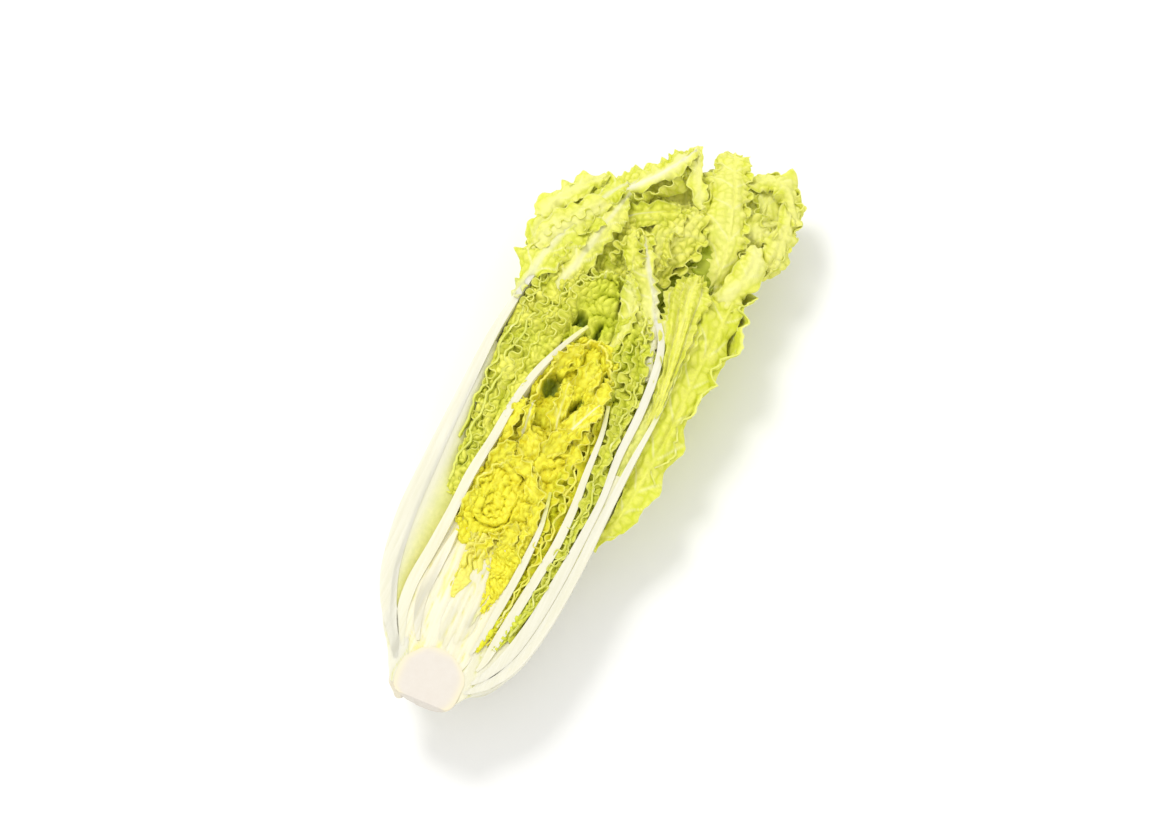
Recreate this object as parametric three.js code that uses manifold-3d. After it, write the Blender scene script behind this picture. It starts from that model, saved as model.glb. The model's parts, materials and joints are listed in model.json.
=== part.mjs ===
// A head of napa cabbage cut in half from stem to tip, lying on its back with the cut face up.
// Each leaf is one solid: a thick white stalk that thins into a waved blade. Leaves nest round the
// stem like the layers of an onion, so a leaf inside the head is a shell round the head's axis:
// a profile in the cut plane, swung down below it. Where leaves leave the head at the crown they
// are free sheets along a rib of their own, joined to the shell that they grow from.
// Millimetres. While it is built, x runs across the head, y from the stem's cut end towards the
// leaf tips, and z is the height above the cut plane, so the head hangs below z = 0.

import * as THREE from "three";
import Module from "manifold-3d";
import { mergeVertices } from "three/addons/utils/BufferGeometryUtils.js";

const wasm = await Module();
wasm.setup();

// ---- driving dimensions ----

const DEPTH_SHARE = 0.94; // the head's depth below the cut, against its half width
const FLAT_DEPTH = 52.0; // depth of the small flat spot that the head lies on
const CLEARANCE = 0.8; // cut free round a leaf where another would touch it
const LEAST_GAP = 0.35; // leaves further apart than this are left as they are
const BLADE = 1.0; // thickness of a leaf away from its stalk
const SMOOTHING = 0.07; // how far a face may move when it is joined to its neighbours

// Half width of the head in the cut plane at a distance y from the cut end: rows of [y, half width].
const HEAD_RIGHT = [
  [0, 16], [8, 18], [12, 21], [15, 25.5], [20, 31], [35, 39.5], [55, 44.5], [80, 47.5],
  [110, 49], [140, 49.5], [180, 52], [215, 52.7], [250, 50], [360, 50],
];
const HEAD_LEFT = [
  [0, 16], [8, 17.5], [14, 21], [20, 25.5], [30, 33.5], [39, 40], [57, 48], [88, 53],
  [110, 53], [135, 52.2], [160, 52], [186, 50.5], [207, 49], [227, 47], [250, 45], [360, 45],
];

const COLOURS = {
  stalk: "#f3f0de",
  stem: "#f3e8d8",
  pale: "#dbe08a",
  green: "#c3d24e",
  yellow: "#e8d93f",
};

// ---- curves ----

// A smooth curve through rows of numbers, taken at t from 0 to 1 (Catmull-Rom, evenly by row).
function along(rows, t) {
  const at = Math.min(Math.max(t, 0), 1) * (rows.length - 1);
  const i = Math.min(Math.floor(at), rows.length - 2);
  const f = at - i;
  const row = (k) => rows[Math.min(Math.max(k, 0), rows.length - 1)];
  const [a, b, c, d] = [row(i - 1), row(i), row(i + 1), row(i + 2)];
  return b.map((_, n) => {
    const m0 = (c[n] - a[n]) / 2;
    const m1 = (d[n] - b[n]) / 2;
    const f2 = f * f;
    const f3 = f2 * f;
    return b[n] * (2 * f3 - 3 * f2 + 1) + m0 * (f3 - 2 * f2 + f) + c[n] * (3 * f2 - 2 * f3) + m1 * (f3 - f2);
  });
}

// Straight-line reading of a table of [x, value] rows.
function read(table, x) {
  let i = 0;
  while (i < table.length - 2 && x > table[i + 1][0]) i++;
  const [[x0, v0], [x1, v1]] = [table[i], table[i + 1]];
  return v0 + (v1 - v0) * Math.min(Math.max((x - x0) / (x1 - x0), 0), 1);
}

const radians = (angle) => (angle * Math.PI) / 180;
const degrees = (angle) => (angle * 180) / Math.PI;

// ---- solids ----

// A closed sheet between an outer and an inner face, each given as a point for (u, v) from 0 to 1.
// Both faces are split along the same diagonals, so a waved sheet never crosses itself.
function sheet(nu, nv, outer, inner) {
  const points = [];
  for (const face of [outer, inner])
    for (let i = 0; i <= nu; i++) for (let j = 0; j <= nv; j++) points.push(...face(i / nu, j / nv));
  const id = (side, i, j) => side * (nu + 1) * (nv + 1) + i * (nv + 1) + j;
  const faces = [];
  for (let i = 0; i < nu; i++)
    for (let j = 0; j < nv; j++) {
      const corner = (side) => [id(side, i, j), id(side, i + 1, j), id(side, i + 1, j + 1), id(side, i, j + 1)];
      const [a, b, c, d] = corner(0);
      const [p, q, r, s] = corner(1);
      faces.push(a, b, c, a, c, d, p, r, q, p, s, r);
    }
  const wall = (edge) => {
    for (let k = 0; k < edge.length - 1; k++) {
      const [i, j] = edge[k];
      const [m, n] = edge[k + 1];
      faces.push(id(0, i, j), id(1, i, j), id(1, m, n), id(0, i, j), id(1, m, n), id(0, m, n));
    }
  };
  const rows = [...Array(nu + 1).keys()];
  const columns = [...Array(nv + 1).keys()];
  wall(rows.map((i) => [i, 0]));
  wall(columns.map((j) => [nu, j]));
  wall(rows.map((i) => [nu - i, nv]));
  wall(columns.map((j) => [0, nv - j]));
  return solidOf(points, faces);
}

// A manifold solid from points and faces, turned the right way out.
function solidOf(points, faces) {
  const geometry = new THREE.BufferGeometry();
  geometry.setAttribute("position", new THREE.BufferAttribute(new Float32Array(points), 3));
  geometry.setIndex(faces);
  const merged = mergeVertices(geometry, 1e-4);
  const vertices = merged.attributes.position.array;
  const triangles = new Uint32Array(merged.index.array);
  const make = () => new wasm.Manifold(new wasm.Mesh({ numProp: 3, vertProperties: vertices, triVerts: triangles }));
  const solid = make();
  if (solid.volume() > 0) return solid;
  for (let i = 0; i < triangles.length; i += 3)
    [triangles[i + 1], triangles[i + 2]] = [triangles[i + 2], triangles[i + 1]];
  return make();
}

// ---- leaves inside the head ----

// The point at distance y up the head, radius r and angle phi round the axis: 0 is the cut plane's
// right side, 90 straight down and 180 its left side. r is measured in the cut plane on that
// leaf's own side, and the head's other side scales it.
function inHead(y, r, phi, side) {
  const right = read(HEAD_RIGHT, y);
  const left = read(HEAD_LEFT, y);
  const share = (1 + Math.cos(radians(phi))) / 2;
  const own = { right, left, under: (right + left) / 2 }[side];
  const radius = (r * (right * share + left * (1 - share))) / own;
  return [radius * Math.cos(radians(phi)), y, -radius * DEPTH_SHARE * Math.sin(radians(phi))];
}

// One nested leaf. rows are [y, outer radius, thickness at the rib, right edge, left edge], the
// edges as angles. The rib is the angle where the leaf is thickest. wave is how far its edges ripple
// in and out, how many times, how much a ripple slants and where up the leaf they start, and flare
// is how far its right edge leans out of the head.
function shell({ side, rows, rib, steps, wave = [0, 0, 0, 0], flare = null, flat = false }) {
  const slope = (t) => {
    const [a, b] = [along(rows, Math.max(t - 0.01, 0)), along(rows, Math.min(t + 0.01, 1))];
    const length = Math.hypot(b[0] - a[0], b[1] - a[1]);
    return [(b[0] - a[0]) / length, (b[1] - a[1]) / length];
  };
  const face = (inner, grow) => (u, v) => {
    const [y, r, thick, edgeRight, edgeLeft] = along(rows, u);
    const at = edgeRight + (edgeLeft - edgeRight) * v;
    const reach = Math.abs(at - rib) / Math.max(Math.abs((at > rib ? edgeLeft : edgeRight) - rib), 1);
    const phi = at + (2 * v - 1) * degrees(grow / r);
    const t = BLADE + Math.max(thick - BLADE, 0) * (1 - reach * reach);
    const [dy, dr] = slope(u);
    const [size, count, turn, start] = wave;
    const swell = size * reach ** 1.5 * Math.min(Math.max((u - start) * 5, 0), 1);
    const ripple = swell * Math.sin(2 * Math.PI * count * u + radians(turn * phi)) + (inner ? -t - grow : grow);
    const scallop = 1 + 0.16 * Math.sin(y / 4.2) * Math.sin(y / 15);
    const lean = flare ? read(flare, y) * scallop * Math.max(1 - phi / 80, 0) ** 1.5 : 0;
    const [x, py, z] = inHead(y - dr * ripple + (2 * u - 1) * grow, Math.max(r + dy * ripple, 0.3), phi, side);
    const under = (inner ? t + grow : -grow) - FLAT_DEPTH;
    return [x + lean, py, flat ? Math.max(z, under) : z];
  };
  return (grow) => sheet(steps[0], steps[1], face(false, grow), face(true, grow));
}

// ---- leaves that stand free ----

// One free leaf. rows are [x, y, z, left half width, right half width, left curl, right curl]:
// the rib's path, then the blade on each side and the degrees that it bends up towards the face.
// face is the way its upper side looks, at the foot and at the tip.
function free({ rows, face, rib, steps, ruffle = [0, 0, 0], ragged = 0, blade = BLADE }) {
  const frame = (u) => {
    const here = along(rows, u);
    const [a, b] = [along(rows, Math.max(u - 0.02, 0)), along(rows, Math.min(u + 0.02, 1))];
    const tangent = new THREE.Vector3(b[0] - a[0], b[1] - a[1], b[2] - a[2]).normalize();
    const up = new THREE.Vector3(...face[0]).lerp(new THREE.Vector3(...face[1]), u);
    up.addScaledVector(tangent, -up.dot(tangent)).normalize();
    return { here, up, tangent, across: new THREE.Vector3().crossVectors(tangent, up) };
  };
  const side = (inner, grow) => (u, v) => {
    const { here, up, across, tangent } = frame(u);
    const s = 2 * v - 1;
    const [width, curl] = s < 0 ? [here[3] + grow, here[5]] : [here[4] + grow, here[6]];
    const reach = Math.abs(s);
    const [size, count, turn] = ruffle;
    const tooth = 1 + ragged * reach * Math.sin(51 * u + 3 * Math.sign(s)) * Math.cos(23 * u + 1);
    const bend = Math.max(Math.abs(radians(curl)), 0.01) * Math.sign(curl || 1);
    const lateral = (Math.sin(bend * reach) / bend) * width * tooth * Math.sign(s);
    const rise = ((1 - Math.cos(bend * reach)) / bend) * width * tooth;
    const ripple = size * reach ** 1.5 * Math.sin(2 * Math.PI * count * u + turn * Math.sign(s));
    const stalk = Math.max(rib * (1 - 0.6 * u) - blade, 0) * Math.max(1 - (reach * width) / (rib * 1.2), 0);
    const half = (blade + stalk) / 2 + grow;
    const lift = ripple + (inner ? -half : half);
    const tilt = bend * reach;
    const out = lateral - lift * Math.sin(tilt) * Math.sign(s);
    const height = rise + lift * Math.cos(tilt);
    const ahead = (2 * u - 1) * grow;
    return [0, 1, 2].map(
      (k) => here[k] + across.getComponent(k) * out + up.getComponent(k) * height + tangent.getComponent(k) * ahead,
    );
  };
  return (grow) => sheet(steps[0], steps[1], side(false, grow), side(true, grow));
}

// A half-round body of revolution under the cut plane: rows of [y, left half width, right half width].
function halfRound(rows, steps, top) {
  const ring = (r, j, grow) => {
    const phi = Math.PI * (j / steps);
    const width = (Math.cos(phi) > 0 ? r[2] : r[1]) + grow;
    const depth = ((r[1] + r[2]) / 2 + grow) * DEPTH_SHARE * Math.sin(phi);
    return [width * Math.cos(phi), r[0], top + (j % steps ? 0 : grow) - depth];
  };
  const n = steps + 1;
  const faces = [];
  for (let i = 0; i < rows.length - 1; i++)
    for (let j = 0; j < n; j++) {
      const k = (j + 1) % n;
      faces.push(i * n + j, i * n + k, (i + 1) * n + k, i * n + j, (i + 1) * n + k, (i + 1) * n + j);
    }
  for (const [row, flip] of [[0, false], [rows.length - 1, true]])
    for (let j = 1; j < n - 1; j++)
      faces.push(row * n, row * n + (flip ? j : j + 1), row * n + (flip ? j + 1 : j));
  const columns = [...Array(n).keys()];
  return (grow) => solidOf(rows.flatMap((r) => columns.flatMap((j) => ring(r, j, grow))), faces);
}

// ---- the leaves ----

const leaves = [];
const leaf = (name, colour, ...pieces) => leaves.push({ name, colour, pieces });

const UP = [[0, 0, 1], [0, 0, 1]];

// The stem's stump, cut flat across its foot, where every stalk is rooted, and the torn foot of a
// leaf that was pulled off its left side.
leaf("stem_stump", "stem",
  halfRound([
    [0, 11.5, 14.5], [2.5, 15, 16.5], [8, 17, 17.2], [14, 17.5, 17], [20, 15.5, 15], [25, 10.5, 10.5],
    [28, 5.5, 5.5], [29, 1.2, 1.2],
  ], 14, 0),
  free({
    rows: [
      [-11, 1, -6, 4, 4, 20, 20], [-17.5, 4, -7.5, 6, 6, 20, 20], [-19.6, 10, -7.5, 6, 6, 20, 20], [-16, 17, -7, 4, 4, 20, 20],
    ],
    face: [[1, 0, 0.1], [1, 0, 0.1]], rib: 3, steps: [4, 3], blade: 2.6,
  }),
);

// Outermost leaf, under the head: it carries the weight, and its right edge fans out of the crown.
leaf("outer_leaf_under", "stalk", shell({
  side: "under", rib: 92, steps: [32, 10], flat: true, wave: [2.4, 10.5, 3, 0.42],
  flare: [[0, 0], [120, 0], [150, 9], [200, 11.5], [250, 16], [300, 18]],
  rows: [
    [9, 19.5, 1.8, 34, 150], [14, 28, 4.2, 31, 152], [22, 37, 5.5, 30, 152], [38, 46.3, 5.6, 30, 152],
    [62, 53.2, 5.6, 30, 152], [95, 56.2, 5.4, 29, 152], [128, 56.4, 4.6, 27, 152], [150, 56.1, 3.6, 10, 152],
    [172, 55.6, 2.8, 7, 152], [195, 55.2, 2.2, 5, 152], [225, 55.2, 1.6, 4, 149], [252, 54.8, 1.2, 5, 140],
    [275, 52.8, 1, 9, 130], [292, 48.5, 1, 20, 114], [303, 44, 1, 36, 98],
  ],
}));

// Right side, from the outside in. Every one of these is cut through its stalk.
leaf("outer_leaf_right", "stalk",
  shell({
    side: "right", rib: 0, steps: [18, 4],
    rows: [
      [11, 19, 1.4, 0, 50], [14.4, 24.6, 3.6, 0, 55], [21, 31.4, 5, 0, 58], [37, 40, 5.2, 0, 60],
      [62, 45.3, 5.2, 0, 60], [92, 48, 5, 0, 60], [124, 49, 4.4, 0, 58], [156, 50, 3.4, 0, 56],
      [188, 52, 2.6, 0, 54], [214, 52, 2, 0, 50], [232, 50.5, 1.6, 0, 44],
    ],
  }),
  free({
    rows: [
      [50.6, 206, -1.2, 3, 3, 0, 0], [50.6, 224, -0.6, 13, 4, -25, -30], [49.8, 240, 0, 19, 5, -35, -40],
      [48.6, 255, -0.3, 18, 6, -40, -40], [48.4, 270, -2, 11, 7, -30, -40], [49, 285, -4, 2, 2, 0, 0],
    ],
    face: UP, rib: 2.2, steps: [13, 6], ruffle: [1.2, 3, 0.5], ragged: 0.1,
  }),
);

leaf("inner_leaf_right", "stalk",
  shell({
    side: "right", rib: 0, steps: [20, 4],
    rows: [
      [17, 20.6, 1.4, 0, 46], [20.5, 24.6, 3.6, 0, 52], [28, 30.2, 5.4, 0, 57], [42, 35.8, 6.6, 0, 60],
      [62, 39.6, 6.4, 0, 60], [86, 42.2, 6, 0, 60], [110, 43.4, 4.6, 0, 58], [135, 44.2, 3.6, 0, 56],
      [160, 42.8, 3.6, 0, 54], [186, 43.6, 3.4, 0, 52], [210, 42.2, 3, 0, 50], [228, 38.4, 2.6, 0, 48],
      [242, 29.8, 2.2, 0, 46],
    ],
  }),
  free({
    rows: [
      [32.4, 233, -3, 5, 2, 30, 0], [26, 245, -2, 10, 2, 40, 10], [18.5, 257, -1, 11, 3, 40, 10],
      [11, 270, 0.5, 9, 4, 40, 20], [5, 281, 1, 1.5, 1.5, 0, 0],
    ],
    face: [[-0.7, -0.3, 1], [-0.4, -0.4, 1]], rib: 2, steps: [11, 6], ruffle: [1.6, 3, 1], ragged: 0.16,
  }),
);

leaf("frill_leaf_right", "green", shell({
  side: "right", rib: 60, steps: [36, 3], wave: [1.7, 8.5, 3, 0],
  rows: [
    [48, 28.4, 1, 0, 50], [64, 31.6, 1, 0, 54], [84, 33.8, 1, 0, 56], [105, 36.2, 1, 0, 56], [128, 37, 1, 0, 54],
    [150, 36.2, 1, 0, 52], [172, 36.4, 1, 0, 50], [192, 36.8, 1, 0, 44], [210, 35.4, 1, 0, 36],
  ],
}));

leaf("heart_leaf_right", "stalk", shell({
  side: "right", rib: 0, steps: [14, 4],
  rows: [
    [24.5, 20.6, 1.4, 0, 46], [31, 23.4, 3.4, 0, 52], [44, 25.6, 4.8, 0, 56], [63, 28.2, 5, 0, 58],
    [82, 30.6, 4.8, 0, 60], [102, 32.8, 4.6, 0, 60], [124, 32.8, 4, 0, 58], [146, 31, 3.4, 0, 56],
    [168, 29.4, 2.6, 0, 52], [184, 26, 1.8, 0, 40],
  ],
}));

leaf("frill_leaf_heart", "green", shell({
  side: "right", rib: 60, steps: [32, 3], wave: [1.3, 8, 3, 0],
  rows: [
    [50, 20.6, 1, 0, 46], [66, 22.4, 1, 0, 50], [84, 24.6, 1, 0, 52], [104, 26, 1, 0, 52], [126, 26, 1, 0, 50],
    [146, 24.8, 1, 0, 46], [164, 23.4, 1, 0, 40],
  ],
}));

leaf("heart_stalk_right", "stalk", shell({
  side: "right", rib: 0, steps: [10, 3],
  rows: [
    [31, 14, 1.4, 0, 46], [42, 17.2, 3.2, 0, 50], [60, 19.2, 4, 0, 54], [78, 20.6, 4, 0, 54], [94, 21, 3.4, 0, 52],
    [110, 20.4, 2.4, 0, 48], [128, 17, 1.4, 0, 40],
  ],
}));

// Left side, from the outside in.
leaf("outer_leaf_left", "stalk",
  shell({
    side: "left", rib: 180, steps: [18, 5],
    rows: [
      [15, 21, 1.6, 130, 180], [21, 26, 4.6, 126, 180], [31, 33.8, 7, 122, 180], [42, 41.4, 8.6, 120, 180],
      [60, 48.4, 9.6, 120, 180], [88, 52.6, 10, 120, 180], [116, 52.6, 9, 120, 180], [145, 51.8, 7.4, 120, 180],
      [172, 51, 6.4, 120, 180], [198, 49.6, 5.2, 122, 180], [220, 46.6, 4, 126, 180], [238, 42.6, 3, 132, 180],
    ],
  }),
  free({
    rows: [
      [-45.2, 222, -1.4, 1.5, 2, 0, 0], [-42.4, 238, -1, 8, 6, -20, -20], [-40, 252, 0, 17, 11, -40, -25],
      [-36.4, 266, 0.5, 21, 13, -50, -30], [-31, 280, 0.5, 20, 13, -50, -30], [-25, 292, 0.5, 16, 11, -40, -30],
      [-19, 302, 0.5, 9, 7, -30, -20], [-15, 308, 0.5, 1.5, 1.5, 0, 0],
    ],
    face: [[-0.2, 0, 1], [-0.1, 0.3, 1]], rib: 3, steps: [16, 6], ruffle: [3, 5, 0.6], ragged: 0.24,
  }),
);

leaf("frill_leaf_left", "green",
  shell({
    side: "left", rib: 120, steps: [22, 3], wave: [1.5, 5.5, 3, 0],
    rows: [
      [138, 40.4, 1, 136, 180], [158, 40.8, 1, 132, 180], [180, 40.8, 1, 130, 180], [202, 40.4, 1, 130, 180],
      [222, 38.4, 1, 134, 180], [240, 35, 1, 140, 180], [254, 31, 1, 150, 180],
    ],
  }),
);

leaf("ribbed_leaf_left", "green",
  shell({
    side: "left", rib: 120, steps: [22, 3], wave: [1.4, 5, 3, 0],
    rows: [
      [84, 35, 1, 134, 180], [104, 35.6, 1, 130, 180], [126, 35.4, 1, 128, 180], [150, 35.6, 1, 126, 180],
      [174, 35.4, 1, 126, 180], [198, 34.4, 1, 128, 180], [216, 32.4, 1, 132, 180],
    ],
  }),
  free({
    rows: [
      [-31, 208, -2, 2, 2, 0, 0], [-28, 226, -2, 6, 5, -20, 20], [-24, 244, -1.5, 8, 6, -30, 30],
      [-20.6, 262, -1, 9, 7, -40, 30], [-18, 277, -0.5, 8, 8, -40, 40], [-15, 290, 0, 6, 7, -20, 40],
      [-12, 302, 0, 1.5, 1.5, 0, 0],
    ],
    face: [[0.2, 0, 1], [0.2, 0, 1]], rib: 2.8, steps: [14, 4], ruffle: [2.2, 4.6, 0.6], ragged: 0.26,
  }),
);

leaf("arched_leaf_left", "stalk", shell({
  side: "left", rib: 180, steps: [20, 4],
  rows: [
    [22.5, 20.4, 1.4, 134, 180], [29, 25.4, 4, 130, 180], [40, 30.6, 5.8, 127, 180], [56, 32.4, 6.2, 124, 180],
    [78, 30.6, 6, 122, 180], [100, 29.2, 5.4, 122, 180], [122, 28.6, 5.2, 122, 180], [144, 25.6, 4.6, 124, 180],
    [166, 23.4, 4.2, 126, 180], [186, 19.6, 3.8, 128, 180], [202, 13.6, 3, 130, 180], [214, 8, 2.4, 132, 180],
    [222, 3.2, 1.6, 134, 180],
  ],
}));

leaf("heart_stalk_left", "stalk", shell({
  side: "left", rib: 180, steps: [10, 4],
  rows: [
    [28, 14.4, 1.4, 136, 180], [36, 19.6, 4, 132, 180], [50, 24, 5.4, 128, 180], [66, 23.8, 5.2, 126, 180],
    [80, 22.4, 4, 126, 180], [90, 20.6, 1.6, 128, 180],
  ],
}));

// Under the heart: whole leaves, seen only where they come out at the crown. From the outside in.
leaf("under_leaf_right", "green",
  shell({
    side: "under", rib: 90, steps: [8, 3],
    rows: [
      [12.5, 18.6, 1.4, 66, 114], [16, 24.4, 3.4, 64, 116], [24, 32, 4.4, 63, 117], [42, 41, 4.4, 62, 118],
      [72, 47.8, 4.4, 62, 118], [110, 50.2, 4, 62, 118], [150, 50.4, 3.2, 62, 118], [190, 50.6, 2.2, 62, 118],
      [216, 50.4, 1.6, 66, 114],
    ],
  }),
  free({
    rows: [
      [5, 204, -46, 6, 6, 0, 0], [18, 230, -42.5, 13, 11, 10, 10], [33, 256, -34, 15, 10, 0, -10],
      [46, 279, -24, 17, 13, -30, -20], [54, 300, -16, 19, 22, -40, -60], [57, 322, -12, 19, 21, -40, -60],
      [54, 341, -14, 13, 13, -40, -50], [51, 350, -16, 3, 3, 0, 0],
    ],
    face: [[0, 0, 1], [0.1, 0.3, 1]], rib: 2.4, steps: [16, 6], ruffle: [3.4, 5.3, 0.8], ragged: 0.2,
  }),
);

leaf("under_leaf_back", "yellow",
  shell({
    side: "under", rib: 90, steps: [8, 3],
    rows: [
      [18, 19, 1.4, 68, 112], [25, 25.6, 3.4, 66, 114], [42, 35, 4.2, 64, 116], [72, 41.8, 4.2, 63, 117],
      [110, 44.6, 4, 62, 118], [150, 45, 3.2, 62, 118], [190, 45.2, 2.2, 63, 117], [214, 45, 1.6, 66, 114],
    ],
  }),
  free({
    rows: [
      [0, 202, -41.2, 5, 5, 0, 0], [4, 228, -39, 22, 16, 10, 0], [10, 256, -34, 34, 22, 20, 0],
      [18, 282, -27, 40, 24, 20, 0], [24, 306, -20, 36, 20, 20, 0], [28, 326, -15, 24, 14, 20, 0], [31, 340, -14, 3, 3, 0, 0],
    ],
    face: [[0, 0, 1], [0, -0.1, 1]], rib: 2.4, steps: [12, 6], ruffle: [2.6, 3.6, 0.8], ragged: 0.16,
  }),
);

leaf("under_leaf_ridge", "green",
  shell({
    side: "under", rib: 90, steps: [8, 3],
    rows: [
      [21, 18.6, 1.4, 69, 111], [30, 25, 3.4, 66, 114], [48, 32.6, 4.2, 64, 116], [76, 37, 4.2, 63, 117],
      [112, 39.4, 4, 62, 118], [150, 39.8, 3.2, 62, 118], [190, 40, 2.2, 63, 117], [212, 39.8, 1.6, 66, 114],
    ],
  }),
  free({
    rows: [
      [4, 200, -36.4, 5, 5, 0, 0], [18, 224, -33, 12, 10, 10, 0], [35, 248, -23, 16, 10, -10, -10],
      [46, 270, -13, 18, 10, -40, -30], [48, 290, -6, 20, 9, -55, -40], [44, 310, -3, 20, 9, -60, -40],
      [38, 328, -3, 18, 9, -60, -40], [33, 342, -5, 13, 9, -40, -30], [30, 351, -8, 4, 4, 0, 0],
    ],
    face: [[0, 0, 1], [0.15, 0, 1]], rib: 2.4, steps: [17, 6], ruffle: [2.8, 5.6, 0.8], ragged: 0.22,
  }),
);

leaf("under_leaf_cup", "yellow",
  shell({
    side: "under", rib: 90, steps: [8, 3],
    rows: [
      [27, 17, 1.4, 70, 110], [42, 25.6, 3.8, 66, 114], [70, 31.4, 4, 64, 116],
      [110, 33.8, 3.8, 63, 117], [150, 34.4, 3, 63, 117], [190, 34.6, 2.2, 64, 116], [210, 34.4, 1.6, 66, 114],
    ],
  }),
  free({
    rows: [
      [-2, 198, -31.6, 5, 5, 0, 0], [-8, 222, -31, 10, 12, 10, 10], [-12, 248, -26, 12, 18, 10, 20],
      [-10, 268, -18, 10, 30, 0, 30], [-6, 285, -12, 9, 36, -20, 36], [2, 298, -9, 9, 32, -20, 40],
      [12, 307, -8, 6, 20, -20, 40], [20, 313, -8, 2, 3, 0, 0],
    ],
    face: [[0, 0, 1], [-0.25, 0.1, 1]], rib: 2.4, steps: [14, 8], ruffle: [2.8, 4.4, 0.8], ragged: 0.2,
  }),
);

leaf("under_leaf_left", "pale",
  shell({
    side: "under", rib: 90, steps: [8, 3],
    rows: [
      [32, 15, 1.4, 74, 106], [50, 21.6, 3.4, 68, 112], [78, 26, 3.6, 66, 114],
      [116, 28.4, 3.4, 65, 115], [156, 29, 2.8, 65, 115], [202, 29, 1.6, 67, 113],
    ],
  }),
  free({
    rows: [
      [-5, 188, -26.6, 5, 5, 0, 0], [-18, 214, -27.5, 9, 9, 0, 0], [-31, 244, -22, 13, 12, -20, -10],
      [-36, 270, -16, 16, 14, -30, -20], [-30, 292, -10, 15, 12, -30, -20], [-16, 308, -8, 12, 11, -20, -20],
      [-3, 321, -6, 10, 11, -20, -20], [7, 332, -4, 7, 9, -10, -10], [13, 339, -3, 1.5, 2, 0, 0],
    ],
    face: [[0, 0, 1], [-0.1, 0.2, 1]], rib: 3, steps: [16, 5], ruffle: [2.4, 5, 0.8], ragged: 0.24,
  }),
);

// The leaf that closes over the top of the heart.
leaf("dome_leaf", "yellow", shell({
  side: "under", rib: 90, steps: [9, 10],
  rows: [
    [190, 25.6, 1.4, 40, 140], [206, 28.2, 1.2, 14, 166], [222, 27.8, 1.2, 3, 177], [236, 23.4, 1.2, 2, 178],
    [246, 16.4, 1.2, 2, 178], [253, 8.4, 1.2, 2, 178], [256, 2.4, 1, 2, 178],
  ],
}));

// ---- the heart: small leaves packed round the growing tip, one body ----

const heartCore = halfRound([
  [33, 6, 7], [42, 10.5, 10], [60, 13.5, 12], [80, 13.5, 12], [105, 14, 12.5], [135, 14, 13], [160, 12, 12], [182, 9, 11],
  [204, 8, 8], [220, 2, 3],
], 7, -6.5);

const heartLeaf = (rows, face, ruffle, ragged, steps = [7, 4], rib = 1.4) =>
  free({ rows, face, rib, steps, ruffle, ragged, blade: 0.9 });

leaf("heart_stem", "stalk",
  free({
    rows: [
      [0, 31.5, -3, 5, 5, 20, 20], [0.5, 42, -2.5, 7, 7, 20, 20], [2.5, 58, -2.5, 8, 8, 20, 20],
      [5, 74, -2.5, 5.5, 5.5, 20, 20], [7, 90, -2.5, 1.5, 1.5, 0, 0],
    ],
    face: UP, rib: 4.4, steps: [8, 5], blade: 3.6,
  }),
);

const TO_RIGHT = [[0.2, 0, 1], [0.2, 0, 1]];
const TO_LEFT = [[-0.2, 0, 1], [-0.15, 0, 1]];

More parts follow.
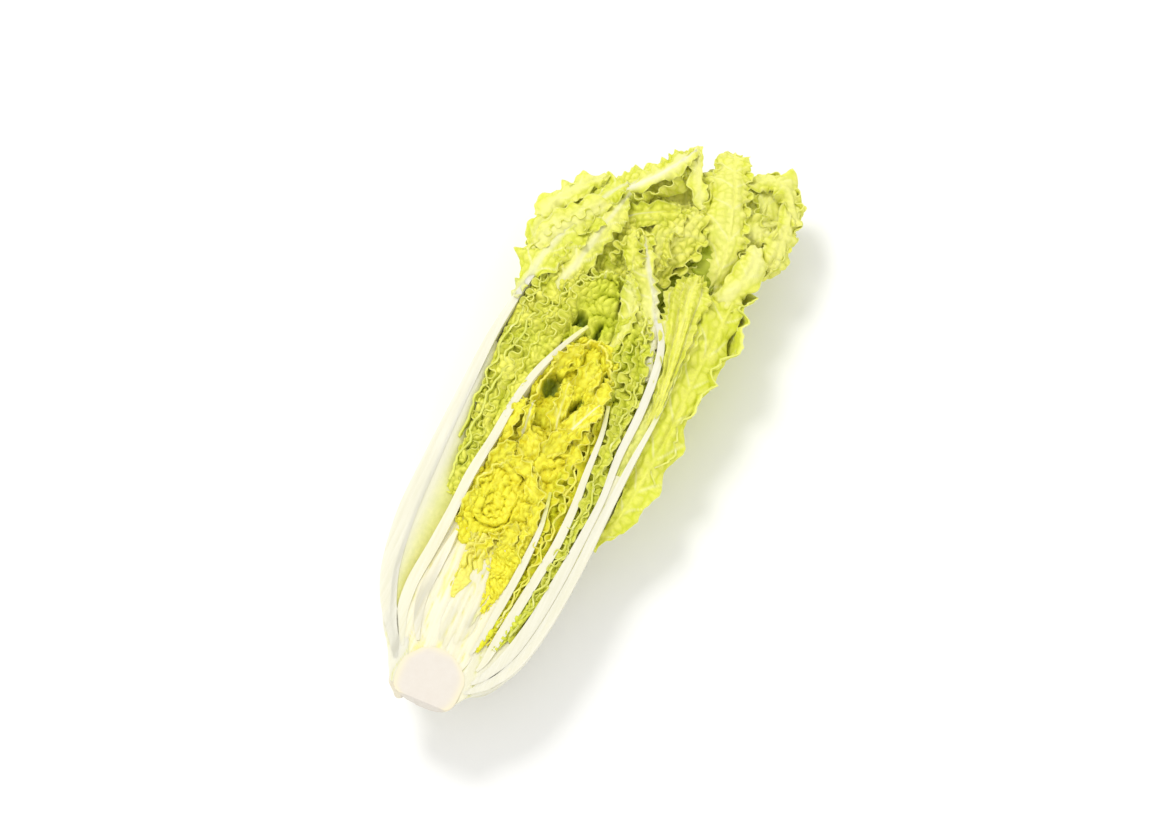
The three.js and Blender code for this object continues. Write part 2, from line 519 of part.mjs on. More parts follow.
leaf("heart", "yellow",
  heartCore,
  // small leaves curled against the growing tip
  heartLeaf([
    [-13, 50, -8, 3, 3, 0, 0], [-12.5, 58, -2, 4, 4, 40, 40], [-9.5, 67, 0, 5, 4.5, 50, 50], [-7, 76, -1, 2, 2, 0, 0],
  ], UP, [0.8, 2, 0], 0.1),
  heartLeaf([
    [-15, 74, -9, 4, 4, 0, 0], [-13, 84, -3, 5, 5, 30, 30], [-8, 95, -1, 5, 6, 30, 30], [-4, 102, -3, 2, 2, 0, 0],
  ], UP, [1, 2.5, 0], 0.15),
  heartLeaf([
    [12.5, 62, -9, 3, 2, 0, 0], [13.5, 74, -3, 4, 2, 20, 20], [10.5, 87, -1, 5, 3.5, 30, 30], [4, 100, -3, 2, 2, 0, 0],
  ], UP, [1.3, 3, 0], 0.15),
  // the coiled leaves in the middle
  heartLeaf([
    [-19, 98, -12, 4, 4, 0, 0], [-17, 108, -5, 7, 8, 30, 20], [-12, 120, -2, 9, 9, 30, 20], [-7, 130, -5, 3, 3, 0, 0],
  ], UP, [1.4, 3, 0], 0.12),
  heartLeaf([
    [2, 96, -12, 5, 5, 0, 0], [1, 107, -6, 8, 8, 20, 30], [-2, 118, -4, 8, 8, 20, 30], [-6, 127, -7, 3, 3, 0, 0],
  ], TO_RIGHT, [1.4, 3, 1], 0.12),
  heartLeaf([
    [13, 112, -12, 4, 4, 0, 0], [13, 124, -5, 7, 6, 10, 10], [6, 135, -2, 8, 7, 10, 10], [-6, 141, -4, 6, 6, 10, 10],
    [-14, 137, -9, 2, 2, 0, 0],
  ], UP, [1, 3, 0], 0.1, [9, 4]),
  // fanned leaves above them
  heartLeaf([
    [-14, 132, -14, 5, 5, 0, 0], [-15, 146, -7, 7, 7, 10, 20], [-14, 160, -4, 7, 7, 10, 20], [-12, 172, -5, 3, 3, 0, 0],
  ], TO_RIGHT, [1.4, 3, 0], 0.15),
  heartLeaf([
    [-1, 138, -14, 5, 5, 0, 0], [1, 152, -8, 9, 9, 20, 20], [4, 167, -4, 10, 9, 20, 20], [6, 181, -4, 3, 3, 0, 0],
  ], TO_LEFT, [1.6, 3, 1], 0.15, [8, 4]),
  heartLeaf([
    [14, 136, -14, 4, 4, 0, 0], [17, 150, -6, 5, 4, 10, 10], [18, 165, -3, 6, 4, 10, 10], [16, 178, -5, 2, 2, 0, 0],
  ], TO_LEFT, [1.2, 4, 2], 0.15),
  heartLeaf([
    [2, 168, -13, 5, 5, 0, 0], [4, 182, -6, 10, 10, 20, 10], [5, 194, -3, 10, 10, 20, 0], [5, 207, -6, 4, 4, 0, 0],
  ], UP, [1.4, 3.5, 0], 0.12),
  // the loose leaf inside the dome
  heartLeaf([
    [4, 196, -15, 6, 6, 0, 0], [3, 210, -11, 12, 12, 20, 10], [1, 224, -8, 14, 15, 20, 10], [1, 238, -8, 9, 11, 10, 10],
    [2, 248, -11, 3, 3, 0, 0],
  ], UP, [1.8, 3, 0], 0.12, [8, 5]),
);

// ---- clearing each leaf of its neighbours, and the assembly ----

// The largest body of a solid: a crossing edge can leave a scrap, which is dropped.
function largest(solid) {
  return solid.decompose().reduce((a, b) => (b.volume() > a.volume() ? b : a));
}

function meshOf(name, colour, solid) {
  const { vertProperties, numProp, triVerts, numVert } = solid.getMesh();
  const position = new Float32Array(numVert * 3);
  for (let i = 0; i < numVert; i++) position.set(vertProperties.subarray(i * numProp, i * numProp + 3), i * 3);
  const geometry = new THREE.BufferGeometry();
  geometry.setAttribute("position", new THREE.BufferAttribute(position, 3));
  geometry.setIndex(new THREE.BufferAttribute(triVerts, 1));
  geometry.computeVertexNormals();
  const finish = new THREE.MeshStandardMaterial({ color: COLOURS[colour], roughness: 0.5, metalness: 0 });
  const mesh = new THREE.Mesh(geometry, finish);
  mesh.name = name;
  return mesh;
}

// A leaf's pieces as one solid, and with grow the room that its neighbours leave free round it.
const joined = ({ pieces }, grow) => wasm.Manifold.union(pieces.map((piece) => piece(grow)));

const head = new THREE.Group();
const placed = [];
for (const each of leaves) {
  let solid = joined(each, 0);
  for (const other of placed)
    if (solid.minGap(other.solid, CLEARANCE) < LEAST_GAP) solid = solid.subtract(joined(other.leaf, CLEARANCE));
  solid = largest(solid).simplify(SMOOTHING);
  placed.push({ leaf: each, solid });
  head.add(meshOf(each.name, each.colour, solid));
}

// The origin is on the surface that the head lies on, under the middle of its box.
const box = new THREE.Box3().setFromObject(head);
head.position.set(-(box.min.x + box.max.x) / 2, -(box.min.y + box.max.y) / 2, -box.min.z);

const part = new THREE.Group();
part.add(head);
export default part;
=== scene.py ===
"""Half a napa cabbage, cut from stem to tip, lying on its back with the cut face up.

Inside the head every leaf is a shell round the head's axis, and at the crown it goes on as a free
sheet along its own rib. Millimetres are used while a surface is worked out, in the head's own
directions: x across the head, y from the stem's cut end to the tips, z up from the cut face.
"""

import json
import math

import bpy
import numpy as np
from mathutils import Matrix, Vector


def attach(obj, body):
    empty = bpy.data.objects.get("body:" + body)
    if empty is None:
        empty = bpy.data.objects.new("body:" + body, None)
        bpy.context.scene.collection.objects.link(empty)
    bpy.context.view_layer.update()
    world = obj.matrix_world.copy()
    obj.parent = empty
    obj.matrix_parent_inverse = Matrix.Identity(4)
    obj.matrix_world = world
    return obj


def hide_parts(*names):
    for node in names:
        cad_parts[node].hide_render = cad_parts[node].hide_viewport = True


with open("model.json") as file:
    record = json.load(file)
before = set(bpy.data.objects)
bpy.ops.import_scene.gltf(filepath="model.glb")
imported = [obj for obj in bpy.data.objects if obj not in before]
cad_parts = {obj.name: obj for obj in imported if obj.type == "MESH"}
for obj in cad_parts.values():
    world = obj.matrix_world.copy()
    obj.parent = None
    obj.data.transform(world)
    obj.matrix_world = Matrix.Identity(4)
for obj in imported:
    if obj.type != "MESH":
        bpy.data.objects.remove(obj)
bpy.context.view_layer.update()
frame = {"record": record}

# ---- Camera, floor and light -------------------------------------------------------------------
# The half lies on a white table and is seen from above its stem end, under a broad soft light from
# the upper left, so its shadow falls softly to the lower right.

MM = 0.001
REST_SPOT = Vector(frame["record"]["mounts"][0]["pos_m"])  # the flat spot under the belly
REST_IN_HEAD = Vector((0.0, 128.0, -52.0)) * MM            # the same spot, in the head's directions
HEAD_ORIGIN = REST_SPOT - REST_IN_HEAD                     # the stem's cut end, on the cut face

VIEW_TARGET = HEAD_ORIGIN + Vector((16.0, 172.0, 0.0)) * MM
VIEW_AZIMUTH = math.radians(23.0)
VIEW_ELEVATION = math.radians(68.0)
VIEW_DISTANCE = 1.52

back_of_view = Vector((
    math.sin(VIEW_AZIMUTH) * math.cos(VIEW_ELEVATION),
    -math.cos(VIEW_AZIMUTH) * math.cos(VIEW_ELEVATION),
    math.sin(VIEW_ELEVATION),
))
camera_data = bpy.data.cameras.new("camera")
camera_data.lens = 90.0
camera_data.sensor_width = 36.0
camera = bpy.data.objects.new("camera", camera_data)
camera.location = VIEW_TARGET + back_of_view * VIEW_DISTANCE
camera.rotation_euler = back_of_view.to_track_quat("Z", "Y").to_euler()
bpy.context.scene.collection.objects.link(camera)
bpy.context.scene.camera = camera
bpy.context.scene.view_settings.view_transform = "Standard"


def srgb(code):
    """The linear colour of a hex code such as "f3f0de"."""
    channels = np.array([int(code[i:i + 2], 16) for i in (0, 2, 4)]) / 255.0
    linear = np.where(channels <= 0.04045, channels / 12.92, ((channels + 0.055) / 1.055) ** 2.4)
    return (*linear, 1.0)


def node(material, kind, settings=None, **links):
    """Adds one node. settings are its properties, and links are its inputs: a value or a socket."""
    new = material.node_tree.nodes.new(kind)
    for key, value in (settings or {}).items():
        setattr(new, key, value)
    for key, value in links.items():
        name = key.replace("_", " ")
        socket = new.inputs[int(key[1:])] if key[0] == "i" and key[1:].isdigit() else new.inputs[name]
        if isinstance(value, bpy.types.NodeSocket):
            material.node_tree.links.new(value, socket)
        else:
            socket.default_value = value
    return new


def new_material(name):
    """An empty node material with its output node."""
    material = bpy.data.materials.new(name)
    material.use_nodes = True
    material.node_tree.nodes.clear()
    return material, material.node_tree.nodes.new("ShaderNodeOutputMaterial")


FLOOR_WHITE = "f7f7f5"
FLOOR_HALF_WIDTH = 3.0

floor_mesh = bpy.data.meshes.new("floor")
floor_corners = [(side_x * FLOOR_HALF_WIDTH, side_y * FLOOR_HALF_WIDTH, 0)
                 for side_x, side_y in ((-1, -1), (1, -1), (1, 1), (-1, 1))]
floor_mesh.from_pydata(floor_corners, [], [(0, 1, 2, 3)])
floor = bpy.data.objects.new("floor", floor_mesh)
bpy.context.scene.collection.objects.link(floor)

# Matt white laminate, with a trace of unevenness: soft spots, counted from the floor's corner.
TABLE_SPOT = 150.0  # mm, the width of a spot
spots_to_corner = FLOOR_HALF_WIDTH * 1000 / TABLE_SPOT
white_table, output = new_material("white_table")
table_place = node(white_table, "ShaderNodeTexCoord").outputs["Object"]
spot_map = node(white_table, "ShaderNodeMapping", Vector=table_place,
                Location=(spots_to_corner, spots_to_corner, spots_to_corner),
                Scale=(1000 / TABLE_SPOT, 1000 / TABLE_SPOT, 1000 / TABLE_SPOT))
spots = node(white_table, "ShaderNodeTexNoise", Vector=spot_map.outputs[0], Scale=1.0, Detail=2.0)
tint = node(white_table, "ShaderNodeMix", {"data_type": "RGBA"}, i0=spots.outputs["Fac"],
            i6=srgb(FLOOR_WHITE), i7=srgb("fbfbfa"))
table_shader = node(white_table, "ShaderNodeBsdfPrincipled", Base_Color=tint.outputs[2], Roughness=0.7)
white_table.node_tree.links.new(table_shader.outputs[0], output.inputs[0])
floor_mesh.materials.append(white_table)

ROOM_LIGHT = 0.87  # how bright the white room is that lights the table from all sides
world = bpy.data.worlds.new("studio")
bpy.context.scene.world = world
world.use_nodes = True
world.node_tree.nodes["Background"].inputs["Color"].default_value = (1.0, 1.0, 1.0, 1.0)
world.node_tree.nodes["Background"].inputs["Strength"].default_value = ROOM_LIGHT


def softbox(name, place, size, power):
    """A square area light of the given size in metres, aimed at the middle of the head."""
    data = bpy.data.lights.new(name, "AREA")
    data.size = size
    data.energy = power
    light = bpy.data.objects.new(name, data)
    light.location = VIEW_TARGET + Vector(place)
    light.rotation_euler = Vector(place).to_track_quat("Z", "Y").to_euler()
    bpy.context.scene.collection.objects.link(light)


softbox("key_light", (-0.75, 0.4, 1.5), 0.5, 12.1)
softbox("front_fill", (0.9, -1.1, 0.9), 1.0, 3.0)

# ---- Stem stump --------------------------------------------------------------------------------
# The thick white core of the head, sawn off at the foot and cut in half lengthwise. The foot of a
# leaf that was pulled away is left standing on its left side.

DEPTH_SHARE = 0.94  # the head's depth below the cut, against its half width
FLAT_DEPTH = 52.0   # depth of the flat spot under the belly


def along(rows, t):
    """Smooth curve through rows of numbers, for t from 0 to 1.

    Between two rows the curve is the cubic whose slope at each row is half the step from the row
    before to the row after.
    """
    rows = np.asarray(rows, float)
    at = np.clip(t, 0.0, 1.0) * (len(rows) - 1)
    i = np.minimum(at.astype(int), len(rows) - 2)
    f = (at - i)[..., None]
    a, b = rows[np.maximum(i - 1, 0)], rows[i]
    c, d = rows[i + 1], rows[np.minimum(i + 2, len(rows) - 1)]
    m0, m1 = (c - a) / 2, (d - b) / 2
    return (b * (2 * f**3 - 3 * f**2 + 1) + m0 * (f**3 - 2 * f**2 + f)
            + c * (3 * f**2 - 2 * f**3) + m1 * (f**3 - f**2))


def scatter(i, j, seed):
    """Even random numbers from 0 to 1 for whole-number places i, j: the fraction of a large sine."""
    value = np.sin(i * 127.1 + j * 311.7 + seed * 74.7) * 43758.5453
    return value - np.floor(value)


def noise(x, y=0.0, seed=0.0):
    """Smooth random field from -1 to 1, one hill or dip to a unit: random corners, eased between."""
    x, y = np.broadcast_arrays(np.asarray(x, float), np.asarray(y, float))
    i, j = np.floor(x), np.floor(y)
    u, v = x - i, y - j
    u, v = u * u * (3 - 2 * u), v * v * (3 - 2 * v)
    low = scatter(i, j, seed) * (1 - u) + scatter(i + 1, j, seed) * u
    high = scatter(i, j + 1, seed) * (1 - u) + scatter(i + 1, j + 1, seed) * u
    return 2 * (low * (1 - v) + high * v) - 1


def cells(x, y, seed=0.0):
    """Distance to the nearest and next nearest of one random point in each unit square."""
    i, j = np.floor(x), np.floor(y)
    first = np.full(x.shape, 9.0)
    second = np.full(x.shape, 9.0)
    for di in (-1, 0, 1):
        for dj in (-1, 0, 1):
            px = i + di + 0.1 + 0.8 * scatter(i + di, j + dj, seed)
            py = j + dj + 0.1 + 0.8 * scatter(i + di, j + dj, seed + 5.3)
            far = np.hypot(px - x, py - y)
            second = np.minimum(second, np.maximum(first, far))
            first = np.minimum(first, far)
    return first, second


def blisters(a, b, cell, seed):
    """Round blisters about cell mm wide: their height from 0 to 1, and the share of painted shade in the
    creases, 1 between.

    The height rises with the difference between the distances to the two nearest random points.
    """
    near, next_near = cells(a / cell + 0.3 * noise(a / 5, b / 5, seed), b / (cell * 0.88), seed)
    gap = next_near - near
    dome = (1 - (1 - np.clip(gap / 0.8, 0, 1)) ** 2) * (1 - 0.35 * near**2)
    return dome, np.exp(-((gap / 0.26) ** 2))


def ease(low, high, x):
    """0 below low, 1 above high, and a smooth step between."""
    t = np.clip((x - low) / (high - low), 0.0, 1.0)
    return t * t * (3 - 2 * t)


def normals(points):
    """Unit normals of a grid of points: the cross product of its two directions."""
    across = np.cross(np.gradient(points, axis=0), np.gradient(points, axis=1))
    return across / (np.linalg.norm(across, axis=-1, keepdims=True) + 1e-9)


def closed_sheet(front, back, marks):
    """Vertices, quads and marks of the closed body between two grids of points.

    marks are numbers for each grid point, shared by both faces. The mark "cut" is 1 on the rim.
    """
    nu, nv = front.shape[:2]
    points = np.concatenate([front.reshape(-1, 3), back.reshape(-1, 3)])
    index = np.arange(nu * nv).reshape(nu, nv)
    top = np.stack([index[:-1, :-1], index[1:, :-1], index[1:, 1:], index[:-1, 1:]], -1).reshape(-1, 4)
    bottom = top[:, ::-1] + nu * nv
    ring = np.concatenate([index[:, 0], index[-1, 1:], index[-2::-1, -1], index[0, -2:0:-1]])
    after = np.roll(ring, -1)
    rim = np.stack([ring, ring + nu * nv, after + nu * nv, after], -1)
    volume = np.einsum("ij,ij->", points[top[:, 0]], np.cross(points[top[:, 1]], points[top[:, 2]]))
    volume += np.einsum("ij,ij->", points[bottom[:, 0]],
                        np.cross(points[bottom[:, 1]], points[bottom[:, 2]]))
    quads = np.concatenate([top, bottom, rim])
    if volume < 0:
        quads = quads[:, ::-1]
    rim_mark = np.zeros(nu * nv)
    rim_mark[ring] = 1.0
    both = {key: np.tile(np.broadcast_to(value, (nu, nv)).reshape(-1), 2) for key, value in marks.items()}
    both["cut"] = np.tile(rim_mark, 2)
    return points, quads, both


# what a point of the surface is, each a number from 0 to 1, that the materials read; crease and hollow mark
# where shade is painted
MARKS = ("blade", "vein", "cut", "green", "crease_shade", "hollow_shade")
SHARP_FOLD = 62.0  # degrees between two faces, past which their edge is left sharp


def make_piece(name, bodies, material, slot, *replaced):
    """One object from closed bodies in millimetres, placed in the frame and standing for CAD nodes.

    Nothing goes below the table.
    """
    starts = np.cumsum([0] + [len(body[0]) for body in bodies])
    points = np.concatenate([body[0] for body in bodies])
    points[:, 2] = np.maximum(points[:, 2], -FLAT_DEPTH)
    points = points * MM + np.array(HEAD_ORIGIN)
    quads = np.concatenate([body[1] + start for body, start in zip(bodies, starts)])
    mesh = bpy.data.meshes.new(name)
    mesh.vertices.add(len(points))
    mesh.vertices.foreach_set("co", points.astype(np.float32).ravel())
    mesh.loops.add(quads.size)
    mesh.loops.foreach_set("vertex_index", quads.astype(np.int32).ravel())
    mesh.polygons.add(len(quads))
    mesh.polygons.foreach_set("loop_start", np.arange(0, quads.size, 4, dtype=np.int32))
    mesh.polygons.foreach_set("loop_total", np.full(len(quads), 4, np.int32))
    mesh.update(calc_edges=True)
    mesh.polygons.foreach_set("use_smooth", np.ones(len(quads), bool))
    mesh.set_sharp_from_angle(angle=math.radians(SHARP_FOLD))
    for mark in MARKS:
        values = np.concatenate([body[2].get(mark, np.zeros(len(body[0]))) for body in bodies])
        mesh.attributes.new(mark, "FLOAT", "POINT").data.foreach_set("value", values.astype(np.float32))
    mesh.materials.append(material)
    piece = bpy.data.objects.new(name, mesh)
    bpy.context.scene.collection.objects.link(piece)
    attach(piece, "root")
    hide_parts(*replaced)


STUMP_ROWS = [
    [0, 12, 14], [2, 15.4, 16], [6, 16.6, 17.2], [12, 17.2, 17.4], [17.5, 16.8, 16.4], [22.5, 13.2, 13],
    [26.5, 9, 7.6], [28.6, 3, 2],
]  # distance from the cut end, then half widths to the left and right
STUMP_FOOT = [
    [-11, 1, -6, 4, 4], [-17.5, 4, -7.5, 6, 6], [-19.6, 10, -7.5, 6, 6], [-16, 17, -7, 4, 4],
]  # x, y, z, then half widths: the torn leaf foot


def half_round(rows, top, step, wave):
    """A half-round body under the cut: rings of the given half widths, swung from right to left.

    The skin is pushed out along its normal by wave, a function of y, the way round in mm, and rows.
    """
    rows = np.asarray(rows, float)
    nu = int((rows[-1, 0] - rows[0, 0]) / step) + 2
    y, left, right = np.moveaxis(along(rows, np.linspace(0, 1, nu)), -1, 0)
    nv = int(math.pi * rows[:, 1:].mean(1).max() / step) + 2
    phi = np.linspace(0, math.pi, nv)[None, :]
    y, left, right = y[:, None], left[:, None], right[:, None]
    wide = np.where(np.cos(phi) > 0, right, left)
    depth = (left + right) / 2 * DEPTH_SHARE
    skin = np.stack(np.broadcast_arrays(wide * np.cos(phi), y, top - depth * np.sin(phi)), -1)
    bump = wave(y, phi * (left + right) / 2) * np.minimum(0.6 + np.sin(phi) * 2, 1)
    out = np.stack(np.broadcast_arrays(np.cos(phi), 0 * y, -np.sin(phi)), -1)
    skin = skin + out * bump[..., None]
    flat = skin.copy()
    flat[..., 2] = top
    right_rim, left_rim = skin[:, :1, 0], skin[:, -1:, 0]
    flat[:, 1:-1, 0] = right_rim + (left_rim - right_rim) * np.linspace(0, 1, nv)[None, 1:-1]
    return skin, flat


def stump_wave(y, way):
    """Ridges where stalks were torn away, as long ribs, and a rough skin."""
    return 0.5 * noise(y / 9, way / 3.2, 3) + 0.25 * noise(y / 2.2, way / 1.6, 4)


STUMP_LENGTH = 29.0  # mm from the cut end to where the stump runs into the leaves
SKIN_RING = 2.2      # width of the yellow ring under the skin

stump_skin, stump_face = half_round(STUMP_ROWS, top=0.0, step=0.7, wave=stump_wave)
stump_body = closed_sheet(stump_skin, stump_face, {})
stump_body[2]["cut"][stump_skin[..., 0].size:] = 1.0  # the flat face is all cut
across_face, up_face = stump_face[..., 0], stump_face[..., 1]
right_rim, left_rim = across_face[:, :1], across_face[:, -1:]
from_sides = np.minimum(np.abs(across_face - right_rim), np.abs(across_face - left_rim))
from_rim = 0.8 * np.minimum(from_sides, STUMP_LENGTH - up_face)
stump_body[2]["vein"] = np.tile(np.exp(-((from_rim / SKIN_RING) ** 2)).ravel(), 2)


def spine_frame(rows, u, lean):
    """The points of a leaf's rib, the way the leaf's face looks there, and the way across it.

    lean is the way its face looks at the foot and at the tip, as far as the rib lets it.
    """
    here = along(rows, u)
    ahead = along(rows, np.minimum(u + 0.02, 1))[:, :3] - along(rows, np.maximum(u - 0.02, 0))[:, :3]
    tangent = ahead / np.linalg.norm(ahead, axis=1, keepdims=True)
    up = np.array(lean[0]) * (1 - u[:, None]) + np.array(lean[1]) * u[:, None]
    up = up - (up * tangent).sum(1, keepdims=True) * tangent
    up /= np.linalg.norm(up, axis=1, keepdims=True)
    return here, up, np.cross(tangent, up)


stump_lean = ((1, 0, 0.1), (1, 0, 0.1))
u = np.linspace(0, 1, 40)
foot_rib, foot_up, foot_across = spine_frame(STUMP_FOOT, u, stump_lean)
v = np.linspace(-1, 1, 22)[None, :]
foot_half = np.where(v < 0, foot_rib[:, 3:4], foot_rib[:, 4:5]) * (1 + 0.12 * noise(u[:, None] * 9, v, 7))
foot_mid = foot_rib[:, None, :3] + foot_across[:, None] * (foot_half * v)[..., None]
foot_mid = foot_mid + foot_up[:, None] * (0.6 * noise(u[:, None] * 6, v * 2, 8))[..., None]
foot_thick = 1.1 * (1 - 0.5 * v**2)[..., None] * foot_up[:, None]
foot_body = closed_sheet(foot_mid + foot_thick, foot_mid - foot_thick, {})

# Cut stem: dense, moist, faintly pink-white flesh, with darker vessels as specks and a dry,
# slightly brown skin. Wet flesh has an IOR near 1.36 and a soft shine.
FLESH_GRAIN = 3.846154                      # mm from one bundle of vessels to the next
FIBRE_WIDTH, FIBRE_LENGTH = 1.111111, 6.25  # mm, the fibres in its skin

cut_stem, output = new_material("cut_stem_flesh")
place = node(cut_stem, "ShaderNodeTexCoord").outputs["Object"]
cut_mark = node(cut_stem, "ShaderNodeAttribute", {"attribute_name": "cut"}).outputs["Fac"]
flesh_noise = node(cut_stem, "ShaderNodeTexNoise", Vector=place, Scale=1000 / FLESH_GRAIN, Detail=5.0,
                   Roughness=0.6)
flesh = node(cut_stem, "ShaderNodeMix", {"data_type": "RGBA"}, i0=flesh_noise.outputs["Fac"],
             i6=srgb("e2dbd0"), i7=srgb("dbd2c5"))
fibre_map = node(cut_stem, "ShaderNodeMapping", Vector=place,
                 Scale=(1000 / FIBRE_WIDTH, 1000 / FIBRE_LENGTH, 1000 / FIBRE_WIDTH))
fibres = node(cut_stem, "ShaderNodeTexNoise", Vector=fibre_map.outputs[0], Scale=1.0, Detail=2.0)
skin_tone = node(cut_stem, "ShaderNodeMix", {"data_type": "RGBA"}, i0=fibres.outputs["Fac"],
                 i6=srgb("f4efdc"), i7=srgb("ddcfae"))
ring_mark = node(cut_stem, "ShaderNodeAttribute", {"attribute_name": "vein"}).outputs["Fac"]
ringed = node(cut_stem, "ShaderNodeMix", {"data_type": "RGBA"}, i0=ring_mark, i6=flesh.outputs[2],
              i7=srgb("e9dfc0"))
stem_tone = node(cut_stem, "ShaderNodeMix", {"data_type": "RGBA"}, i0=cut_mark,
                 i6=skin_tone.outputs[2], i7=ringed.outputs[2])
stem_bump = node(cut_stem, "ShaderNodeBump", Strength=0.35, Distance=0.0006,
                 Height=flesh_noise.outputs["Fac"])
stem_shader = node(cut_stem, "ShaderNodeBsdfPrincipled", Base_Color=stem_tone.outputs[2], Roughness=0.5,
                   IOR=1.36, Normal=stem_bump.outputs[0])
cut_stem.node_tree.links.new(stem_shader.outputs[0], output.inputs[0])

make_piece("stem_stump_flesh", [stump_body, foot_body], cut_stem, "stem", "stem_stump")

# ---- Outermost leaf, under the head ------------------------------------------------------------
# One big leaf that the half lies in: a broad white stalk at the foot that thins into a green,
# crinkled blade, whose right edge fans out beside the crown as a frill.

HEAD_RIGHT = [
    [0, 16], [8, 18], [12, 21], [15, 25.5], [20, 31], [35, 39.5], [55, 44.5], [80, 47.5],
    [110, 49], [140, 49.5], [180, 52], [215, 52.7], [250, 50], [360, 50],
]  # distance from the stem's end, then half width of the head to the right
HEAD_LEFT = [
    [0, 16], [8, 17.5], [14, 21], [20, 25.5], [30, 33.5], [39, 40], [57, 48], [88, 53],
    [110, 53], [135, 52.2], [160, 52], [186, 50.5], [207, 49], [227, 47], [250, 45], [360, 45],
]
ALONG_HEAD = np.arange(-30, 400)  # mm up the head


def smoothed(rows):
    """A half width for every mm up the head: the rows joined by lines, then blurred by 3.5 mm."""
    kernel = np.exp(-0.5 * (np.arange(-9, 10) / 3.5) ** 2)
    return np.convolve(np.interp(ALONG_HEAD, *np.array(rows).T), kernel / kernel.sum(), "same")


SMOOTH_RIGHT, SMOOTH_LEFT = smoothed(HEAD_RIGHT), smoothed(HEAD_LEFT)
BLADE = 1.0          # thickness of a leaf away from its stalk
VEIN_SPACING = 13.0  # mm from one side vein to the next along a leaf inside the head


def shell(side, rows, rib, wave=(0, 0, 0, 0), flare=None, flat=False, step=1.7, frill=0.0, blister=0.5,
          green=0.5, seed=1.0, fringe=0.0, white_to=70.0):
    """A leaf inside the head: a profile in the cut plane, swung about the head's axis.

    rows are distance up the head, outer radius, thickness at the rib and the right and left edges as
    angles. side is where that radius is measured: to the right, to the left or, under the head, as
    their mean. A point is at radius r and angle phi, with the head's half widths to the right and left
    mixed by (1 + cos phi) / 2. wave is how far the edges ripple, how often, how much a ripple slants
    and where up the leaf they start. On top come blisters between veins, where the leaf is thin, and
    a frill along its edges. flare fans the right edge out, and fringe frays the top edge, in mm.
    """
    rows = np.asarray(rows, float)
    length = np.hypot(np.diff(rows[:, 0]), np.diff(rows[:, 1])).sum()
    arc = np.radians(rows[:, 4] - rows[:, 3]).max() * rows[:, 1].max()
    u = np.linspace(0, 1, int(length / step) + 2)
    v = np.linspace(0, 1, int(arc / step) + 3)[None, :]
    y, r, thick, right_edge, left_edge = (column[:, None] for column in along(rows, u).T)
    ahead = along(rows, np.minimum(u + 0.01, 1)) - along(rows, np.maximum(u - 0.01, 0))
    reach_of_step = np.hypot(ahead[:, 0], ahead[:, 1])
    dy, dr = (ahead[:, 0] / reach_of_step)[:, None], (ahead[:, 1] / reach_of_step)[:, None]
    u = u[:, None]
    phi = right_edge + (left_edge - right_edge) * v
    to_edge = np.where(phi > rib, left_edge, right_edge) - rib
    reach = np.clip(np.abs(phi - rib) / np.maximum(np.abs(to_edge), 1), 0, 1)
    across = np.radians(phi - rib) * r
    t = BLADE + np.maximum(thick - BLADE, 0) * (1 - reach**2)
    green_from = y + 12 * noise(np.radians(phi) * r / 9, 0, seed + 9)
    thin = (1 - ease(1.3, 3.0, t)) * ease(white_to, white_to + 60, green_from)
    size, count, turn, start = wave
    started = np.clip((u - start) * 5, 0, 1)
    swell = size * reach**1.5 * started
    slip = 0.35 * noise(u * count * 0.9, 0, seed)
    ripple = swell * (np.sin(2 * np.pi * (count * u + slip) + np.radians(turn * phi))
                      + 0.4 * noise(y / 4.5, across / 9, seed + 1))
    ripple = ripple + frill * reach**2 * started * noise(y / 2.6, across / 12, seed + 2)
    ripple = ripple + (1 - thin) * 0.18 * noise(y / 60, across / 2.6, seed + 3)
    puff, crease_shade = blisters(y + 0 * across, across, 4.4, seed)
    at_cut = np.minimum(np.minimum(phi, 180 - phi) / 4.0, 1)
    ripple = ripple + blister * thin * (puff - 0.6) * (0.35 + 0.65 * at_cut)
    lean = 0.0
    if flare is not None:
        scallop = 1 + 0.16 * np.sin(y / 4.2) * np.sin(y / 15)
        scallop = scallop + 0.28 * noise(y / 7, 0, seed + 4) + 0.1 * noise(y / 2.5, 0, seed + 5)
        lean = np.interp(y, *np.array(flare).T) * scallop * np.clip(1 - phi / 80, 0, None) ** 1.5
    fray = noise(across / 5, 0, seed + 6) + 0.6 * noise(across / 2.2, 0, seed + 7)
    tip = ease(0.9, 1.0, u) * fringe * fray
    share = (1 + np.cos(np.radians(phi))) / 2

    def face(inner):
        push = ripple - (t if inner else 0)
        py = y - dr * push + tip
        radius = np.maximum(r + dy * push, 0.3)
        right, left = np.interp(y, ALONG_HEAD, SMOOTH_RIGHT), np.interp(y, ALONG_HEAD, SMOOTH_LEFT)
        own = {"right": right, "left": left, "under": (right + left) / 2}[side]
        radius = radius * (right * share + left * (1 - share)) / own
        z = -radius * DEPTH_SHARE * np.sin(np.radians(phi))
        if flat:
            z = np.maximum(z, (t if inner else 0) - FLAT_DEPTH)
        return np.stack(np.broadcast_arrays(radius * np.cos(np.radians(phi)) + lean, py, z), -1)

    up_side_vein = y - np.abs(across) * 0.9 + 2.5 * noise(y / 14, across / 14, seed + 8)
    lines = np.abs((up_side_vein / VEIN_SPACING) % 1 - 0.5)
    side_vein = np.exp(-((0.5 - lines) * VEIN_SPACING / (1.3 - 0.8 * reach)) ** 2)
    # the crease mark is where shade is painted, between the blisters
    marks = {"blade": thin, "vein": thin * side_vein, "green": green, "crease_shade": thin * crease_shade}
    return closed_sheet(face(False), face(True), marks)


HOLLOW_SHADE = "6a7c16"  # painted shade: the dark colour put into a deep gap between leaves, for what little light comes back out of it
